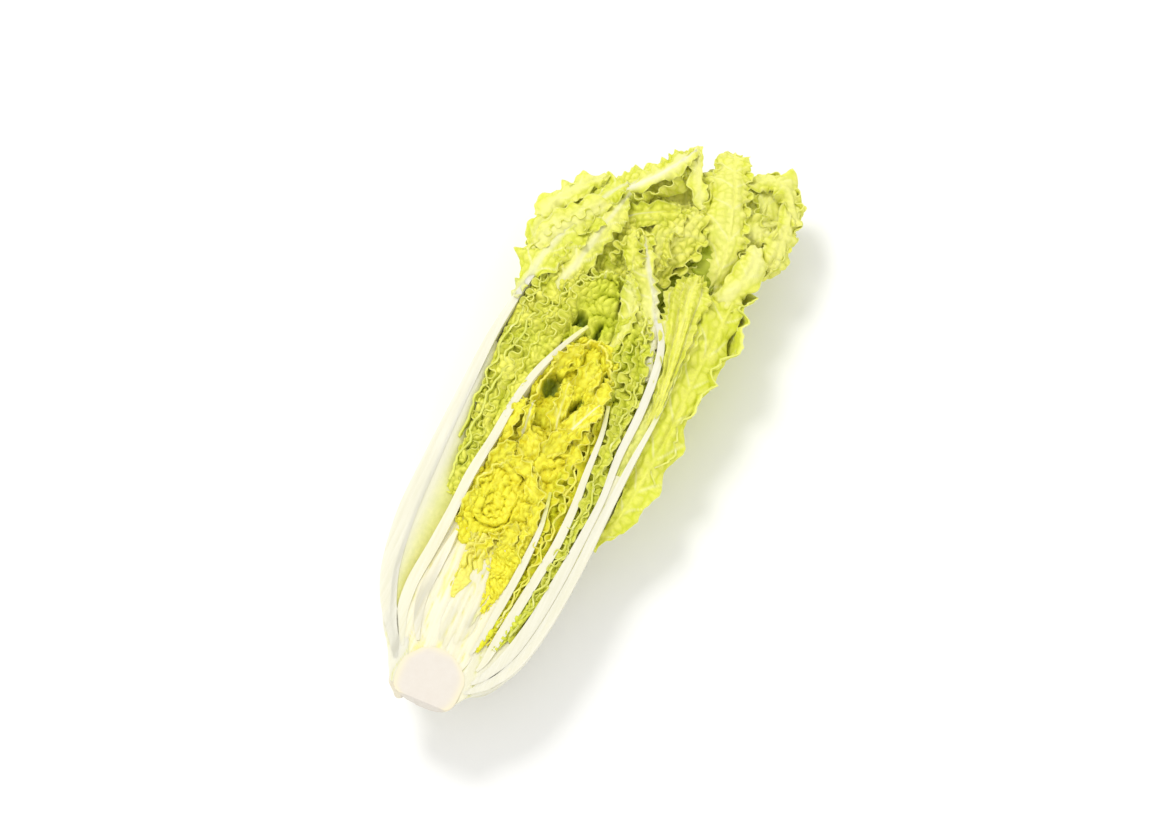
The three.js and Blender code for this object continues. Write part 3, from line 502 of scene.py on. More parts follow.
# sizes of a leaf's patterns in mm: clouds where a blade is older, and the grain of its skin
AGE_CLOUD, SKIN_GRAIN = 16.66667, 1.923077
STALK_RIB_WIDTH, STALK_RIB_LENGTH = 1.538462, 28.57143  # mm, the fine long ribs of a stalk


def leaf_material(name, stalk, stalk_deep, young, old, vein, edge, crease_shade, roughness, bump_depth):
    """A leaf's finish: white stalk and coloured blade, by the marks that its surface carries.

    young and old are the blade's colours where the mark green is 0 and 1. The crease colour is painted
    shade in creases and valleys, and deep gaps are painted with a dark shade colour.
    """
    material, out = new_material(name)
    marks = {
        key: node(material, "ShaderNodeAttribute", {"attribute_name": key}).outputs["Fac"]
        for key in MARKS
    }
    at = node(material, "ShaderNodeTexCoord").outputs["Object"]
    cloud = node(material, "ShaderNodeTexNoise", Vector=at, Scale=1000 / AGE_CLOUD, Detail=3.0,
                 Roughness=0.6).outputs["Fac"]
    grain = node(material, "ShaderNodeTexNoise", Vector=at, Scale=1000 / SKIN_GRAIN, Detail=3.0,
                 Roughness=0.65).outputs["Fac"]
    rib_scale = (1000 / STALK_RIB_WIDTH, 1000 / STALK_RIB_LENGTH, 1000 / STALK_RIB_WIDTH)
    rib_map = node(material, "ShaderNodeMapping", Vector=at, Scale=rib_scale)
    ribs = node(material, "ShaderNodeTexNoise", Vector=rib_map.outputs[0], Scale=1.0,
                Detail=2.0).outputs["Fac"]

    between_ribs = node(material, "ShaderNodeMath", {"operation": "MULTIPLY_ADD", "use_clamp": True},
                        i0=ribs, i1=1.6, i2=-0.35)
    stalk_tone = node(material, "ShaderNodeMix", {"data_type": "RGBA"}, i0=between_ribs.outputs[0],
                      i6=srgb(stalk), i7=srgb(stalk_deep))
    drift = node(material, "ShaderNodeMath", {"operation": "MULTIPLY_ADD"}, i0=cloud, i1=1.4, i2=-0.7)
    age = node(material, "ShaderNodeMath", {"operation": "ADD", "use_clamp": True},
               i0=marks["green"], i1=drift.outputs[0])
    tone = node(material, "ShaderNodeMix", {"data_type": "RGBA"}, i0=age.outputs[0],
                i6=srgb(young), i7=srgb(old))
    fine = node(material, "ShaderNodeMapRange", i0=grain, i1=0.3, i2=0.7, i3=0.9, i4=1.06)
    tone = node(material, "ShaderNodeMix", {"data_type": "RGBA", "blend_type": "MULTIPLY"}, i0=1.0,
                i6=tone.outputs[2], i7=fine.outputs[0])
    # the crease colour is painted shade, in the creases between blisters and in valleys
    for mark, strength, colour in (("crease_shade", 0.7, crease_shade), ("vein", 0.75, vein), ("cut", 0.3, edge)):
        share = node(material, "ShaderNodeMath", {"operation": "MULTIPLY", "use_clamp": True},
                     i0=marks[mark], i1=strength)
        tone = node(material, "ShaderNodeMix", {"data_type": "RGBA"}, i0=share.outputs[0],
                    i6=tone.outputs[2], i7=srgb(colour))
    tone = node(material, "ShaderNodeMix", {"data_type": "RGBA"}, i0=marks["blade"],
                i6=stalk_tone.outputs[2], i7=tone.outputs[2])
    # deep gaps and pits are painted with the dark shade colour
    tone = node(material, "ShaderNodeMix", {"data_type": "RGBA"}, i0=marks["hollow_shade"],
                i6=tone.outputs[2], i7=srgb(HOLLOW_SHADE))
    height = node(material, "ShaderNodeMix", {"data_type": "FLOAT"}, i0=marks["blade"], i2=ribs, i3=grain)
    bump = node(material, "ShaderNodeBump", Strength=0.35, Distance=bump_depth, Height=height.outputs[0])
    shader = node(material, "ShaderNodeBsdfPrincipled", Base_Color=tone.outputs[2], Roughness=roughness,
                  IOR=1.4, Normal=bump.outputs[0], Subsurface_Weight=0.3, Subsurface_Scale=0.003,
                  Subsurface_Radius=(1.0, 1.0, 1.0), Specular_IOR_Level=0.35)
    material.node_tree.links.new(shader.outputs[0], out.inputs[0])
    return material


# Fresh outer leaf: a waxy white stalk with faint long ribs, and a yellow-green blade that is
# greener towards its edge. The wax gives a soft, broad shine.
outer_leaf = leaf_material(
    "outer_leaf", stalk="e8e5d3", stalk_deep="dedbc2", young="ecea70", old="d4dc3c", vein="efedac",
    edge="efeea0", crease_shade="ccd41e", roughness=0.5, bump_depth=0.0004,
)

under_head = shell("under", [
    [13, 22, 1.8, 56, 138], [17, 30, 4.2, 52, 142], [24, 38, 5.5, 48, 146], [38, 46.3, 5.6, 46, 150],
    [62, 53.2, 5.6, 46, 152], [95, 56.2, 5.4, 45, 152], [128, 56.4, 4.6, 30, 152],
    [150, 56.1, 3.6, 10, 152], [172, 55.6, 2.8, 7, 152], [195, 55.2, 2.2, 5, 152],
    [225, 55.2, 1.6, 4, 149], [252, 54.8, 1.2, 5, 140], [275, 52.8, 1, 9, 130], [292, 48.5, 1, 20, 114],
    [303, 44, 1, 36, 98],
], rib=92, wave=(2.4, 10.5, 3, 0.42), flat=True, step=1.8, frill=1.6, blister=1.2, green=0.55, seed=11,
    fringe=2.5, white_to=95, flare=[[0, 0], [120, 0], [150, 9], [200, 11.5], [250, 16], [300, 18]])
FRILL_MARGIN = 7.0  # width of the frilled margin of a leaf that stands free


def free(rows, lean, rib, ruffle=(0, 0, 0), ragged=0.0, blade=BLADE, step=0.95, frill=1.4, curl_wave=7.0,
         blister=0.9, cell=4.4, green=0.5, seed=1.0, stalk_share=0.5, side_veins=13.0, pleats=0.0,
         lobes=1.4, lobe_long=6.5, notch=0.5, veins=1.0, crumple=1.2, pale=0.0, rib_white=1.0):
    """A leaf that stands free: a blade bent along a rib.

    rows are the rib's x, y, z, the half widths to its left and right and the degrees by which each
    half bends up towards the face. Across a half the section is an arc of that angle. The blade
    ripples towards its edges by ruffle: how far, how often and how far the halves are out of step.
    Its margin is frilled by a sine of curl_wave mm that grows to the edge, blisters rise between the
    veins, and lobes lobe_long mm long and notches make the outline uneven. pleats is the depth of
    folds that fan out from the foot, with the veins in them, and crumple is the size of broad uneven
    hills. pale is how far the middle fades to the veins' colour, and rib_white how white the rib is.
    """
    rows = np.asarray(rows, float)
    length = np.linalg.norm(np.diff(rows[:, :3], axis=0), axis=1).sum()
    u = np.linspace(0, 1, int(length / step) + 3)
    here, up, across = spine_frame(rows, u, lean)
    nv = int(2 * rows[:, 3:5].max() / step) + 4
    s = np.linspace(-1, 1, nv)[None, :]
    u = u[:, None]
    left = s < 0
    wide = np.where(left, here[:, 3:4], here[:, 4:5])
    curl = np.radians(np.where(left, here[:, 5:6], here[:, 6:7]))
    reach = np.abs(s)
    sign = np.sign(s)
    size, count, turn = ruffle
    y = u * length
    side = sign * 3.7
    tooth = 1 + 0.3 * ragged * reach * np.sin(51 * u + 3 * sign) * np.cos(23 * u + 1)
    teeth = lobes * noise(y / lobe_long, side, seed) + notch * noise(y / 2.4, side, seed + 1)
    tooth = tooth + reach**2 * teeth / np.maximum(wide, 3)
    bend = np.where(np.abs(curl) < 0.01, 0.01, curl)
    lateral = np.sin(bend * reach) / bend * wide * tooth * sign
    rise = (1 - np.cos(bend * reach)) / bend * wide * tooth
    offset = sign * reach * wide
    slip = 0.3 * noise(u * count, sign * 1.7, seed + 2)
    ripple = size * reach**1.5 * np.sin(2 * np.pi * (count * u + slip) + turn * sign)
    margin = np.clip(1 - (1 - reach) * wide / FRILL_MARGIN, 0, 1) ** 1.6
    phase = 2 * np.pi * (y / curl_wave + 0.7 * noise(y / 11, side, seed + 3))
    ripple = ripple + frill * margin * np.sin(phase) * (0.7 + 0.6 * noise(y / 13, side, seed + 4))
    ripple = ripple + 0.5 * frill * margin * noise(y / 2.3, offset / 5, seed + 5)
    stalk = np.clip(1 - reach * wide / (rib * 1.2), 0, None)
    off_rib = ease(0.0, rib * 1.5, reach * wide)
    puff, crease_shade = blisters(y, offset, cell, seed)
    ripple = ripple + blister * off_rib * (puff - 0.5)
    ripple = ripple + crumple * off_rib * noise(y / 11, offset / 9, seed + 6)
    fan = np.abs((s * 2.1 + 0.6 * noise(y / 22, s * 2, seed + 7)) % 1 - 0.5)
    ripple = ripple + pleats * off_rib * (1 - 4 * fan) * ease(0.0, 0.3, u)
    half = (blade + np.maximum(rib * (1 - 0.6 * u) - blade, 0) * stalk) / 2
    half = half * (1 - 0.45 * reach**4)

    def face(inner):
        lift = ripple + np.where(inner, -half, half)
        tilt = bend * reach
        out = lateral - lift * np.sin(tilt) * sign
        height = rise + lift * np.cos(tilt)
        return here[:, None, :3] + across[:, None] * out[..., None] + up[:, None] * height[..., None]

    up_side_vein = y - np.abs(offset) * 1.1 + 2.5 * noise(y / 10, offset / 10, seed + 8)
    lines = np.abs((up_side_vein / side_veins) % 1 - 0.5)
    if pleats:
        lines = 0.5 - (0.5 - fan) * 0.8
    side_vein = np.exp(-((0.5 - lines) * side_veins / (1.0 - 0.7 * reach)) ** 2) * off_rib
    faded = pale * (1 - ease(0.1, 0.9, reach + 0.3 * noise(y / 8, offset / 5, seed + 9)))
    side_vein = np.clip(veins * side_vein + faded, 0, 1)
    taper = rib * stalk_share * (1.1 - 0.8 * u) * (1 + 0.45 * noise(y / 6, side, seed + 10))
    white = 1 - ease(0.3, 1.6, reach * wide / np.maximum(taper, 0.05))
    white = white * ease(0.1, 0.6, rib * stalk_share) * rib_white
    # the crease mark is where shade is painted, between the blisters
    marks = {
        "blade": 1 - white, "vein": side_vein, "green": np.clip(green + 0.15 * reach**2, 0, 1),
        "crease_shade": crease_shade * off_rib * (1 - side_vein),
    }
    return closed_sheet(face(False), face(True), marks)


outer_flange = free([
    [47, 110, -9, 2, 2, 0, 0], [51, 122, -8, 5, 5, 0, -10], [55, 140, -7, 8, 7, 0, -20],
    [57.5, 162, -6.5, 10, 9, 0, -20], [59, 188, -6, 12, 10, 0, -20], [60, 214, -6, 14, 10, 0, -20],
    [61, 240, -6, 15, 10, 0, -20], [62, 262, -7, 12, 8, 0, -20], [62, 274, -9, 3, 3, 0, 0],
], ((0.1, 0, 1), (0.2, 0, 1)), rib=1.4, ruffle=(1.6, 5, 0), ragged=0.1, green=0.35, seed=12, lobes=4.4,
    frill=1.6, curl_wave=17.0, lobe_long=11, blister=0.9, cell=6.0, veins=0.8, side_veins=17, crumple=2.4,
    stalk_share=0.1)
make_piece("outer_leaf_under_head", [under_head, outer_flange], outer_leaf, "stalk", "outer_leaf_under")

# ---- Leaves right of the heart -----------------------------------------------------------------
# From the outside in: two thick white stalks cut lengthwise, each with a blade at its top, then the
# heart's own right stalks, with ruffled blades pressed between them.


def frilled_edge(rows, wave, size, seed, green=0.5, step=0.75, thick=0.9, blister=0.5, flop=4.0, dip=1.2):
    """A blade pressed between two stalks, standing on edge in the cut face.

    rows are x, y and height of its upper edge, how deep it hangs and how far it leans to the right
    at its foot. The edge meanders: while an angle turns once each wave mm, a point goes size times
    its sine to the side and a twelfth of wave times the sine of twice the angle back, fading to the
    foot. The blade flops over to one side or the other by up to flop mm, and its edge dips by dip mm.
    """
    rows = np.asarray(rows, float)
    length = np.linalg.norm(np.diff(rows[:, :2], axis=0), axis=1).sum()
    u = np.linspace(0, 1, int(length * 1.7 / step))
    v = np.linspace(0, 1, int(rows[:, 3].max() / (step * 1.3)) + 3)[None, :]
    here = along(rows, u)
    x, y, z, deep, lean = (column[:, None] for column in here.T)
    run = np.gradient(here[:, :2], axis=0)
    s = np.concatenate([[0], np.cumsum(np.linalg.norm(np.diff(here[:, :2], axis=0), axis=1))])[:, None]
    run = run / np.linalg.norm(run, axis=1, keepdims=True)
    tx, ty = run[:, :1], run[:, 1:]
    theta = 2 * np.pi * (s / wave + 0.5 * noise(s / (wave * 1.8), v * 1.2, seed))
    fade = (1 - v) ** 1.1
    strong = 0.3 + 0.7 * (noise(s / (wave * 1.6), 0, seed + 1) + 1)
    swing = size * fade * strong * np.sin(theta) + 0.7 * fade * noise(s / 2.6, v, seed + 6)
    swing = swing - flop * v * noise(s / (wave * 0.9), 0, seed + 4)
    back = -0.08 * wave * fade * strong * np.sin(2 * theta)
    top = z - deep * v + dip * fade * noise(s / 5.1, v, seed + 2) + 0.5 * fade * noise(s / 1.5, 0, seed + 3)
    x = x + ty * swing + tx * back + lean * v
    y = y - tx * swing + ty * back
    middle = np.stack(np.broadcast_arrays(x, y, top), -1)
    puff, crease_shade = blisters(s + 0 * v, deep * v, 3.4, seed)
    out = normals(middle)
    middle = middle + out * (blister * (puff - 0.5) * np.minimum(v * 5, 1))[..., None]
    half = out * (thick * (0.3 + 0.6 * v - 0.6 * v**2))[..., None]
    # the crease mark is where shade is painted, between the blisters
    marks = {"blade": 1.0, "green": green, "crease_shade": crease_shade}
    return closed_sheet(middle + half, middle - half, marks)


def packed_fold(rows, relief, fold, seed, green=0.5, step=0.8, cell=3.6, blister=0.9, blade=1.0, tall=1.6,
                thick=2.0, drop=2.5, tilt=0.0, warp=2.4, swirl=None, pits=()):
    """Crumpled blades that fill the room between two stalks, as one thick folded sheet.

    rows are distance up the head, the left and right edge and the height. The sheet is pillowed: it
    rises with the size of a smooth random field, so that the field's zero lines are sharp valleys.
    fold is the width of a pillow in mm and tall its length against its width. Blisters stand on the
    pillows, and the crests are pushed sideways, so that they curl over the valleys. A narrow sheet
    is flatter. swirl is the x, y, reach and spacing of folds that run in rings. pits are hollows,
    sunk and painted dark as shade: x, y, half width, half length and depth. The sheet drops by drop
    mm at its two edges, and by tilt mm, ever steeper, from its left edge to its right one.
    and by tilt mm, ever steeper, from its left edge to its right one.
    """
    rows = np.asarray(rows, float)
    u = np.linspace(0, 1, int((rows[-1, 0] - rows[0, 0]) / step) + 2)
    y, low, high, top = (column[:, None] for column in along(rows, u).T)
    nv = int((rows[:, 2] - rows[:, 1]).max() / step) + 3
    v = np.linspace(0, 1, nv)[None, :]
    x = low + (high - low) * v
    wa, wb = y + warp * noise(y / 9, x / 8, seed), x + warp * noise(y / 8, x / 9, seed + 1)
    field = noise(wb / fold, wa / (fold * tall), seed + 2)
    field = field + 0.35 * noise(wb / (fold * 0.45), wa / (fold * max(0.5, tall / 5)), seed + 3)
    pillow = np.clip(np.abs(field) / 0.75, 0, 1) ** 0.7
    if swirl:
        x0, y0, reach, spacing = swirl
        far = np.hypot(x - x0, (y - y0) * 0.85) + 2.6 * noise(y / 7, x / 7, seed + 7)
        far = far + 0.9 * noise(y / 3, x / 3, seed + 8)
        ring = np.abs(np.sin(np.pi * far / spacing)) ** 0.6
        inside = (1 - ease(0.75 * reach, reach, far)) * ease(-0.5, 0.2, noise(x / 9 + 3, y / 9, seed + 9))
        pillow = pillow * (1 - inside) + ring * inside
    puff, crease_shade = blisters(wa + 0 * wb, wb + 0 * wa, cell, seed)
    relief = relief * np.minimum((high - low) / (1.7 * fold), 1)
    z = top + relief * (pillow - 0.6) + blister * (puff - 0.5)
    z = z - drop * np.abs(2 * v - 1) ** 8 - tilt * v**2
    pit_and_shade = np.zeros_like(z)
    for pit_x, pit_y, half_width, half_length, depth in pits:
        far = np.hypot((x - pit_x) / half_width, (y - pit_y) / half_length)
        pit_and_shade = np.maximum(pit_and_shade, 1 - ease(0.6, 1.2, far + 0.25 * noise(x / 2, y / 2, seed + 5)))
        z = z - depth * pit_and_shade
    u = u[:, None]
    edge = np.minimum(np.minimum(v, 1 - v) * 8, 1) * np.minimum(np.minimum(u, 1 - u) * 12, 1)
    x = x + relief * edge * (pillow - 0.4) * noise(y / 11, x / 9, seed + 4) * 0.9
    y = y - 0.45 * relief * edge * (pillow - 0.4)
    skin = np.stack(np.broadcast_arrays(x, y, z), -1)
    under = skin - np.array([0, 0, thick])
    valley = np.clip(1 - pillow / 0.35, 0, 1)
    # In the valleys the crease colour and a greener tone are painted shade, and a white fill takes its
    # blade colour there so that this painted shade shows in yellow. The pits are painted dark as shade.
    marks = {
        "blade": np.clip(blade + 0.6 * valley * (blade < 0.5), 0, 1),
        "green": np.clip(green + 0.25 * (0.6 - pillow), 0, 1),
        "crease_shade": np.maximum(0.6 * crease_shade, valley),
        "hollow_shade": 0.9 * pit_and_shade,
    }
    return closed_sheet(skin, under, marks)


UP = ((0, 0, 1), (0, 0, 1))  # a rib's face looks straight up at both ends
WHITE_FILL = dict(green=0.0, blister=0.0, warp=0.4)  # smooth white flesh that fills a room
FRILLED = dict(wave=(1.7, 8.5, 3, 0), step=2.4, frill=1.0, blister=1.0, green=0.6, white_to=10)

right_stalk = shell("right", [
    [11, 19, 1.4, 0, 50], [14.4, 24.6, 3.6, 0, 55], [21, 31.4, 5, 0, 58], [37, 40, 5.2, 0, 60],
    [62, 45.3, 5.2, 0, 60], [92, 48, 5, 0, 60], [124, 49, 4.4, 0, 58], [156, 50, 3.4, 0, 56],
    [188, 52, 2.2, 0, 54], [214, 52, 1.6, 0, 50], [232, 50.5, 1.2, 0, 44],
], rib=0, seed=21, green=0.4)
right_blade = free([
    [48.4, 178, -2.4, 2, 2, 0, 0], [48.8, 198, -1, 4, 3, -15, -20], [46.8, 217, -0.2, 5.5, 5, -20, -30],
    [44, 236, 0.4, 9.5, 8, -30, -40], [42, 250, 0.4, 13, 10, -40, -40], [40.6, 261, 0, 14, 11, -40, -40],
    [40, 268, -1.2, 10, 8, -50, -40], [40, 273, -4, 3, 3, 0, 0],
], UP, rib=1.8, ruffle=(1.0, 3, 0.5), ragged=0.1, green=0.1, seed=22, blister=0.6, pleats=2.0, frill=1.6,
    lobes=2.2, lobe_long=9, notch=1.0, stalk_share=0.12, crumple=2.2, side_veins=9)
make_piece("outer_right_leaf", [right_stalk, right_blade], outer_leaf, "stalk", "outer_leaf_right")

inner_right_stalk = shell("right", [
    [17, 20.6, 1.4, 0, 46], [20.5, 24.6, 3.6, 0, 52], [28, 30.2, 5.4, 0, 57], [42, 35.8, 6.6, 0, 60],
    [62, 39.6, 6.4, 0, 60], [86, 42.2, 6, 0, 60], [110, 43.4, 4.6, 0, 58], [135, 44.2, 3.6, 0, 56],
    [160, 43, 4, 0, 54], [186, 44, 4.4, 0, 52], [210, 42.7, 4.2, 0, 50], [228, 38.8, 3.8, 0, 48],
    [242, 30, 3, 0, 46],
], rib=0, seed=23, green=0.3)
inner_right_curl = free([
    [37.6, 205, -3, 3, 1.4, 30, 0], [34, 224, -2, 8, 1.6, 30, 0], [28, 242, -1.5, 11, 1.8, 40, 0],
    [20, 257, -0.6, 12, 2, 40, 10], [12, 270, 0.5, 10, 4, 40, 20], [5, 281, 1, 2.5, 2.5, 0, 0],
], ((-0.5, -0.2, 1), (-0.4, -0.4, 1)), rib=3.0, ruffle=(1.6, 3, 1), ragged=0.16, green=0.05, seed=24,
    frill=1.8, stalk_share=0.85, pale=0.5, rib_white=0.75, blister=0.7)
inner_right_tuft = [
    free([
        [8, 262, -1.4, 4, 4, 0, 0], [4, 268, 0.6, 6, 6, 30, 30], [1, 275, 1.4, 7, 6, 30, 30],
        [-1, 283, 0.4, 3, 3, 0, 0],
    ], ((-0.2, -0.3, 1), (-0.2, 0, 1)), rib=1.2, ruffle=(2.4, 3, 0), ragged=0.1, green=0.15, seed=241,
        step=0.65, frill=2.6, curl_wave=5, stalk_share=0.04, lobes=1.6, blister=1.2, veins=0.2),
    free([
        [13, 266, -2, 3, 3, 0, 0], [9.6, 273, 0, 4, 4, 30, 30], [7, 279, 0.6, 4, 4, 30, 30],
        [6, 285, -0.6, 2, 2, 0, 0],
    ], ((0.2, -0.3, 1), (0, 0, 1)), rib=1.2, ruffle=(1.8, 3, 0), ragged=0.1, green=0.1, seed=242,
        step=0.65, frill=2.0, curl_wave=5, stalk_share=0.04, lobes=1.4, blister=1.0, veins=0.2),
]
make_piece("inner_right_leaf", [inner_right_stalk, inner_right_curl, *inner_right_tuft],
           outer_leaf, "stalk", "inner_leaf_right")

# Inner leaf: tender and thin, kept from the light, so it is yellow with little green. It is drier
# and duller than an outer leaf, and its edges are pale.
inner_leaf = leaf_material(
    "inner_leaf", stalk="e9e6d0", stalk_deep="e2debc", young="eeeb68", old="c8d42c", vein="eeecac",
    edge="efed94", crease_shade="b0b810", roughness=0.55, bump_depth=0.0004,
)

ruffled_right = shell("right", [
    [48, 28.4, 1, 0, 50], [64, 31.6, 1, 0, 54], [84, 33.8, 1, 0, 56], [105, 36.2, 1, 0, 56],
    [128, 37, 1, 0, 54], [150, 36.2, 1, 0, 52], [172, 36.4, 1, 0, 50], [192, 36.8, 1, 0, 44],
    [210, 35.4, 1, 0, 36],
], rib=60, seed=25, fringe=3, **FRILLED)
ruffled_right_more = [
    packed_fold([
        [38, 22.2, 24.6, -0.1], [58, 26, 31.5, -0.9], [80, 29, 36.5, -2.2], [105, 31, 40, -3],
        [135, 31, 40.5, -3.2], [168, 27, 40.5, -3.2], [200, 19, 40, -3], [222, 12, 38, -2.8],
        [236, 10, 33, -3],
    ], relief=4.8, fold=5.2, seed=251, green=0.6, blister=1.3, drop=0.8),
    packed_fold([
        [140, 42, 47, -1.6], [156, 41, 48, -1.6], [186, 42, 51, -1.8], [210, 41, 51.5, -2],
        [230, 38, 50, -3], [244, 34, 48, -5],
    ], relief=1.3, fold=4, seed=256, green=0.4, blade=0.8, tall=5, blister=0.5, warp=1.2),
    frilled_edge([
        [27, 46, -0.6, 4, 1], [30, 66, -0.4, 5, 3], [32.4, 88, -0.3, 6, 6], [33.4, 110, -0.3, 6, 7],
        [33.4, 130, -0.2, 6, 7], [32.4, 150, 0, 6, 7], [30.8, 170, 0, 6, 7], [28.4, 188, 0, 6, 7],
        [25, 204, -0.4, 6, 7], [21.5, 220, -1, 6, 5],
    ], wave=9.6, size=1.5, seed=252, green=0.35),
    frilled_edge([
        [33.6, 72, -0.8, 5, -2], [36, 92, -0.6, 6, -3], [37.8, 112, -0.4, 6, -6],
        [38.6, 135, -0.3, 6, -7], [38, 155, 0, 6, -7], [38, 175, 0, 6, -7], [37.8, 195, 0, 6, -7],
        [35, 212, 0, 6, -6], [30.6, 228, -0.3, 6, -4], [25, 240, -1, 5, -3],
    ], wave=10.4, size=1.5, seed=253, green=0.45),
    frilled_edge([
        [34, 160, -1.4, 6, 2], [34.4, 172, -1, 7, 5], [33, 184, -0.6, 7, 5], [30.6, 197, -0.6, 7, 5],
        [28, 210, -0.8, 7, 5], [24.6, 224, -1.4, 6, 4],
    ], wave=9.2, size=1.7, seed=254, green=0.3),
    frilled_edge([
        [25, 180, -1, 6, 4], [22.5, 194, -0.8, 7, 6], [19.4, 208, -1, 7, 6], [15.5, 222, -1.6, 6, 4],
    ], wave=9.4, size=1.8, seed=255, green=0.3),
]
make_piece("ruffled_right_blade", [ruffled_right, *ruffled_right_more],
           inner_leaf, "leaf_green", "frill_leaf_right")

heart_right_stalk = shell("right", [
    [24.5, 20.6, 1.4, 0, 46], [31, 23.4, 3.4, 0, 52], [44, 25.6, 4.8, 0, 56], [63, 28.2, 5, 0, 58],
    [82, 30.6, 4.8, 0, 60], [102, 32.8, 4.6, 0, 60], [124, 32.8, 4, 0, 58], [146, 31, 3.4, 0, 56],
    [168, 29.4, 2.6, 0, 52], [184, 26, 1.8, 0, 40],
], rib=0, seed=26, green=0.3)
make_piece("heart_right_stalk", [heart_right_stalk], inner_leaf, "stalk", "heart_leaf_right")

# Heart leaf: tender yellow tissue, nearly no green, dull and fine-grained.
heart_leaf = leaf_material(
    "heart_leaf", stalk="f2eed0", stalk_deep="efe9b4", young="f5ee48", old="dce030", vein="f3f090",
    edge="f4f18c", crease_shade="d8c408", roughness=0.6, bump_depth=0.0003,
)
ruffled_heart = shell("right", [
    [50, 20.6, 1, 0, 46], [66, 22.4, 1, 0, 50], [84, 24.6, 1, 0, 52], [104, 26, 1, 0, 52],
    [126, 26, 1, 0, 50], [146, 24.8, 1, 0, 46], [164, 23.4, 1, 0, 40],
], rib=60, seed=27, fringe=3, **{**FRILLED, "wave": (1.3, 8, 3, 0)})
ruffled_heart_more = [
    packed_fold([
        [34, 14.6, 16.6, -0.1], [50, 17.4, 20.8, -0.4], [66, 19, 24.4, -1.4], [85, 20, 27, -2.6],
        [110, 18, 29.5, -3], [140, 16, 29, -3], [170, 18, 28, -3], [188, 20, 26, -3.4],
    ], relief=4.8, fold=4.8, seed=271, green=0.8, blister=1.3, drop=0.8),
    frilled_edge([
        [18.6, 40, -0.8, 4, 1], [20.6, 52, -0.5, 5, 2], [22, 66, -0.3, 6, 3], [23.2, 82, -0.2, 5, 4],
        [24.2, 98, -0.2, 6, 6], [24.6, 114, 0, 6, 7], [24.6, 130, 0, 6, 7], [23.6, 146, 0, 6, 7],
        [23.4, 160, -0.4, 6, 6], [23, 174, -1, 6, 4],
    ], wave=9.4, size=1.5, seed=272, green=0.8),
    frilled_edge([
        [21.4, 92, -0.8, 6, -3], [21.4, 108, -0.4, 6, -6], [20.8, 124, -0.2, 6, -7],
        [19.6, 140, -0.3, 6, -6], [19.4, 152, -1, 6, -4],
    ], wave=8.6, size=1.8, seed=273, green=0.4),
]
make_piece("ruffled_heart_blade", [ruffled_heart, *ruffled_heart_more],
           heart_leaf, "leaf_green", "frill_leaf_heart")

right_feet = [
    packed_fold([
        [6, 10, 17.4, -1], [12, 10, 22, -0.35], [20, 11, 31, -0.35], [28, 12.6, 35, -0.5],
        [36, 15, 37, -1.3], [46, 17, 38, -2.6], [58, 19, 40, -5],
    ], relief=0.7, fold=3.2, seed=281, step=1.1, blade=0.0, tall=14, drop=0.1, **WHITE_FILL),
    packed_fold([
        [20, 26, 31, -0.3], [37, 33, 37, -0.3], [62, 38.4, 41.6, -0.3], [92, 41.2, 44.4, -0.4],
        [124, 42.8, 45.8, -0.5], [150, 42.2, 47.2, -0.9],
    ], relief=0.4, fold=3, seed=282, step=1.1, blade=0.15, tall=12, drop=0.3, **WHITE_FILL),
]
short_right_stalk = shell("right", [
    [31, 14, 1.4, 0, 46], [42, 17.2, 3.2, 0, 50], [60, 19.2, 4, 0, 54], [78, 20.6, 4, 0, 54],
    [94, 21, 3.4, 0, 52], [110, 20.4, 2.4, 0, 48], [128, 17, 1.4, 0, 40],
], rib=0, seed=28, green=0.1)
make_piece("short_right_stalk", [short_right_stalk, *right_feet],
           inner_leaf, "stalk", "heart_stalk_right")

# ---- Leaves left of the heart ------------------------------------------------------------------
# From the outside in: the thickest stalk, with the crown's big crinkled lobe, a ruffled blade, a
# leaf with its own white rib, and the stalk that arches over the heart.

left_stalk = shell("left", [
    [15, 21, 1.6, 130, 180], [21, 26, 4.6, 126, 180], [31, 33.8, 7, 122, 180], [42, 41.4, 8.6, 120, 180],
    [60, 48.4, 9.6, 120, 180], [88, 52.6, 10, 120, 180], [116, 52.6, 9, 120, 180],
    [145, 51.8, 7.4, 120, 180], [172, 51, 6.4, 120, 180], [198, 49.6, 5.2, 122, 180],
    [220, 46.6, 4, 126, 180], [238, 42.6, 2.6, 132, 180], [250, 38.6, 1.4, 140, 179],
    [258, 35, 1, 150, 178],
], rib=180, seed=31, green=0.3)
left_lobe = free([
    [-45.2, 222, -1.4, 1.5, 2, 0, 0], [-42.4, 238, -1, 8, 6, -20, -20], [-40, 252, 0, 17, 11, -40, -25],
    [-36.4, 266, 0.5, 21, 13, -50, -30], [-31, 280, 0.5, 20, 13, -50, -30],
    [-25, 292, 0.5, 16, 11, -40, -30], [-19, 302, 0.5, 9, 7, -30, -20], [-15, 308, 0.5, 1.5, 1.5, 0, 0],
], ((-0.2, 0, 1), (-0.1, 0.3, 1)), rib=3, ruffle=(3, 5, 0.6), ragged=0.24, green=0.45, seed=32,
    blister=1.3, frill=2.0, stalk_share=0.8, pale=0.1, rib_white=0.5, crumple=2.2, lobes=2.4, notch=1.2)
PALE_FLAP = dict(
    stalk_share=0.1, blister=0.7, cell=4.6, frill=1.8, curl_wave=7.5, lobes=1.8, veins=0.4, crumple=1.6,
    pale=0.5, notch=1.2,
)
